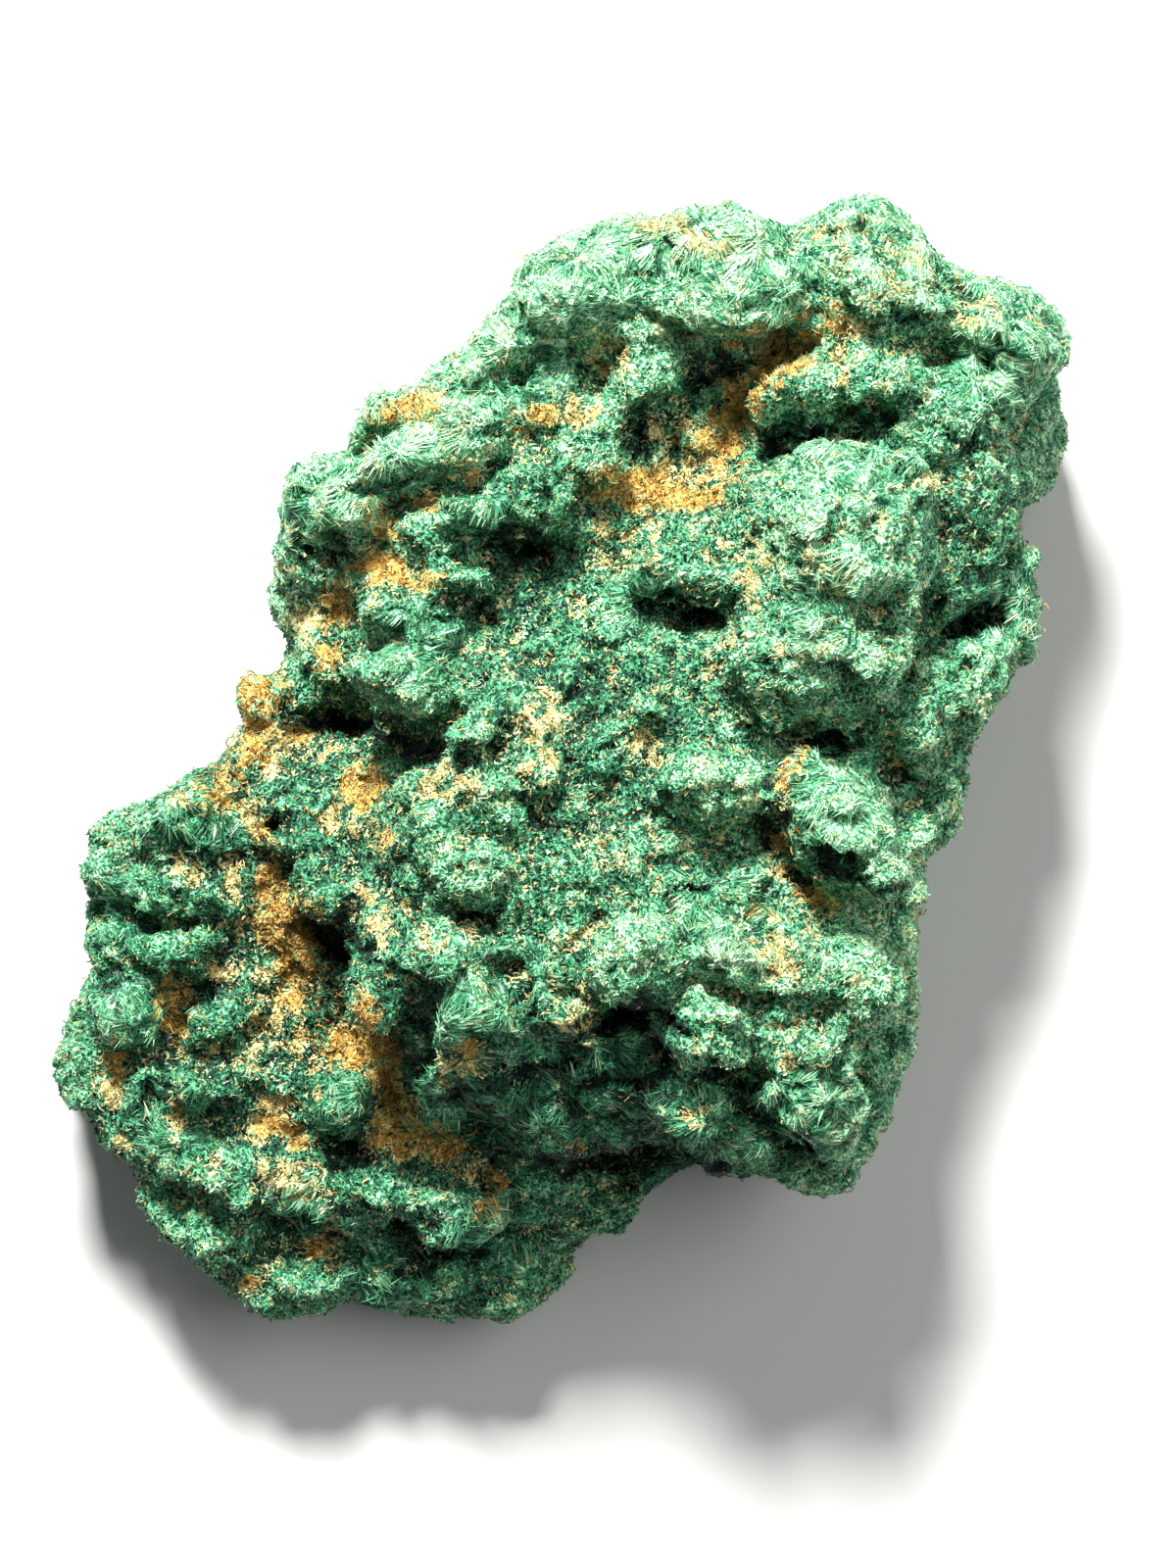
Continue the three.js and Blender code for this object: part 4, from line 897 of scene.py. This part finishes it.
    def grow(self, skin: bpy.types.Object) -> bpy.types.Object:
        """Grow the needles on the skin.

        Args:
            skin: the weathered skin with its charts.

        Returns:
            The needles as one plain mesh object.
        """
        tree = GeometryTree(self.name, {
            "Density": ("Float", self.count / self.area(skin)),
            "Spray size": ("Float", self.spray),
            "Length": ("Float", self.length),
            "Width": ("Float", self.width),
            "Rise": ("Float", self.rise),
            "Seed": ("Int", self.seed),
            "Finish": ("Material", NeedleFinish(f"{self.name}_silk").material()),
        })
        density = tree.maths("MULTIPLY", tree.given("Density"), tree.named(self.chart))
        scattered = tree.node(
            "GeometryNodeDistributePointsOnFaces",
            {"Mesh": tree.given("Geometry"), "Density": density, "Seed": tree.given("Seed")},
            distribute_method="RANDOM")
        hearts = tree.cells(tree.place(), tree.given("Spray size"))
        turned = self.aimed(tree, hearts, scattered.outputs["Normal"])
        points = scattered.outputs["Points"]
        points = tree.keep(points, "needle_tone", self.toned(tree, hearts), "FLOAT", "POINT")
        size = tree.maths("MULTIPLY_ADD", tree.named(self.chart), 0.4, 0.6)
        points = tree.keep(points, "needle_size", size, "FLOAT", "POINT")
        spike = tree.keep(self.template(tree), "spike_place", tree.place(), "FLOAT_VECTOR", "POINT")
        standing = tree.node(
            "GeometryNodeInstanceOnPoints",
            {"Points": points, "Instance": spike, "Rotation": turned, "Scale": self.sized(tree)})
        whole = tree.node("GeometryNodeRealizeInstances", {"Geometry": standing.outputs[0]}).outputs[0]
        dressed = tree.node(
            "GeometryNodeSetMaterial",
            {"Geometry": self.mapped(tree, whole), "Material": tree.given("Finish")})
        mesh = tree.run(skin, dressed.outputs[0], self.name)
        for left_over in ("spike_place", "needle_tone", "needle_size"):
            if left_over in mesh.attributes:
                mesh.attributes.remove(mesh.attributes[left_over])
        needles = bpy.data.objects.new(self.name, mesh)
        bpy.context.scene.collection.objects.link(needles)
        return needles


@dataclass
class ThreadGrowth(NeedleGrowth):
    """Curly threads that lie in the hollows: the same growth, with a bent thread as its template."""

    bend: float = 2.6
    girth: float = 0.09

    def template(self, tree: GeometryTree) -> Any:
        """Add one bent thread, about a unit across, and return its socket."""
        arc = tree.node(
            "GeometryNodeCurveArc",
            {"Resolution": 4, "Radius": 0.5, "Sweep Angle": self.bend}, mode="RADIUS").outputs["Curve"]
        ring = tree.node(
            "GeometryNodeCurvePrimitiveCircle",
            {"Resolution": 3, "Radius": self.girth}, mode="RADIUS").outputs["Curve"]
        swept = tree.node(
            "GeometryNodeCurveToMesh", {"Curve": arc, "Profile Curve": ring, "Fill Caps": True})
        return swept.outputs[0]


@dataclass
class Studio:
    """Pale floor, soft light from the head of the face, and a camera straight above."""

    view_centre: tuple[float, float] = (1.4 * MM, -0.75 * MM)
    view_height: float = 80.0 * MM
    outline_level: float = 12.0 * MM
    distance: float = 330.0 * MM
    sensor: float = 36.0
    floor_half: float = 0.6
    sky_colour: tuple[float, float, float, float] = (0.95, 0.97, 1.0, 1.0)
    sky_strength: float = 0.22
    floor: FloorFinish = field(default_factory=FloorFinish)

    def lay_floor(self) -> bpy.types.Object:
        """Lay the floor just under the specimen."""
        half = self.floor_half
        corners = [(-half, -half, 0), (half, -half, 0), (half, half, 0), (-half, half, 0)]
        mesh = bpy.data.meshes.new("floor")
        mesh.from_pydata(corners, [], [(0, 1, 2, 3)])
        mesh.materials.append(self.floor.material())
        floor = bpy.data.objects.new("floor", mesh)
        bpy.context.scene.collection.objects.link(floor)
        return floor

    def aim_light(self, name: str, place: tuple[float, float, float], size: float, power: float) -> None:
        """Hang a soft square light.

        Args:
            name: name of the light.
            place: where it hangs, in metres.
            size: side of the square, in metres.
            power: power in watts.
        """
        lamp = bpy.data.lights.new(name, "AREA")
        lamp.size = size
        lamp.energy = power
        light = bpy.data.objects.new(name, lamp)
        light.location = place
        light.rotation_euler = (Vector((0, 0, 0.01)) - Vector(place)).to_track_quat("-Z", "Y").to_euler()
        bpy.context.scene.collection.objects.link(light)

    def set_camera(self) -> None:
        """Set the camera straight above the face, framing it as the photograph does."""
        data = bpy.data.cameras.new("above")
        data.sensor_fit = "VERTICAL"
        data.sensor_height = self.sensor
        data.lens = self.sensor * self.distance / self.view_height
        data.clip_start = 0.01
        data.clip_end = 10.0
        camera = bpy.data.objects.new("above", data)
        camera.location = (*self.view_centre, self.outline_level + self.distance)
        bpy.context.scene.collection.objects.link(camera)
        bpy.context.scene.camera = camera

    def build(self) -> bpy.types.Object:
        """Set up floor, lights, world and camera, and return the floor."""
        floor = self.lay_floor()
        self.aim_light("key", (-0.06, 0.30, 0.32), 0.08, 7.0)
        self.aim_light("fill", (0.28, 0.10, 0.42), 0.35, 1.5)
        world = bpy.data.worlds.new("studio")
        world.use_nodes = True
        background = world.node_tree.nodes["Background"]
        background.inputs["Color"].default_value = self.sky_colour
        background.inputs["Strength"].default_value = self.sky_strength
        bpy.context.scene.world = world
        bpy.context.scene.view_settings.view_transform = "Standard"
        self.set_camera()
        return floor


GROWTHS = (
    NeedleGrowth(
        name="crumbs", seed=11, count=45500, chart="felt", spray=1.0 * MM, length=0.27 * MM, width=0.20 * MM,
        rise=0.40, jitter=1.2, tone_shift=-0.04, tone_spread=0.24, stain_share=0.9),
    NeedleGrowth(
        name="felt_needles", seed=23, count=45500, chart="felt", spray=0.9 * MM, length=0.34 * MM,
        width=0.12 * MM, rise=0.30, jitter=0.7, tone_shift=0.0, tone_spread=0.24, stain_share=0.85),
    NeedleGrowth(
        name="fan_needles", seed=37, count=45500, chart="fans", spray=2.8 * MM, length=0.80 * MM,
        width=0.115 * MM, rise=0.09, jitter=0.05, tone_shift=0.0, tone_spread=0.20, stain_share=0.12),
    ThreadGrowth(
        name="threads", seed=51, count=9000, chart="threads", spray=0.9 * MM, length=0.52 * MM,
        width=0.52 * MM, rise=0.50, jitter=1.2, tone_shift=0.08, tone_spread=0.24, stain_share=1.5),
)


def dress(piece: bpy.types.Object) -> None:
    """Tie a piece to the specimen's body and report it."""
    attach(piece, BODY)
    triangles = sum(len(face.vertices) - 2 for face in piece.data.polygons)
    LOG.info("%s: %d triangles", piece.name, triangles)


def main() -> None:
    """Build the skin, the needles and the studio, and note the sizes."""
    logging.basicConfig(level=logging.INFO, format="%(name)s %(message)s")
    Studio().build()
    skin = CrystalSkin().build()
    needles = [growth.grow(skin) for growth in GROWTHS]
    for piece in (skin, *needles):
        dress(piece)
    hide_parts(NODE)


if __name__ == "__main__":
    main()
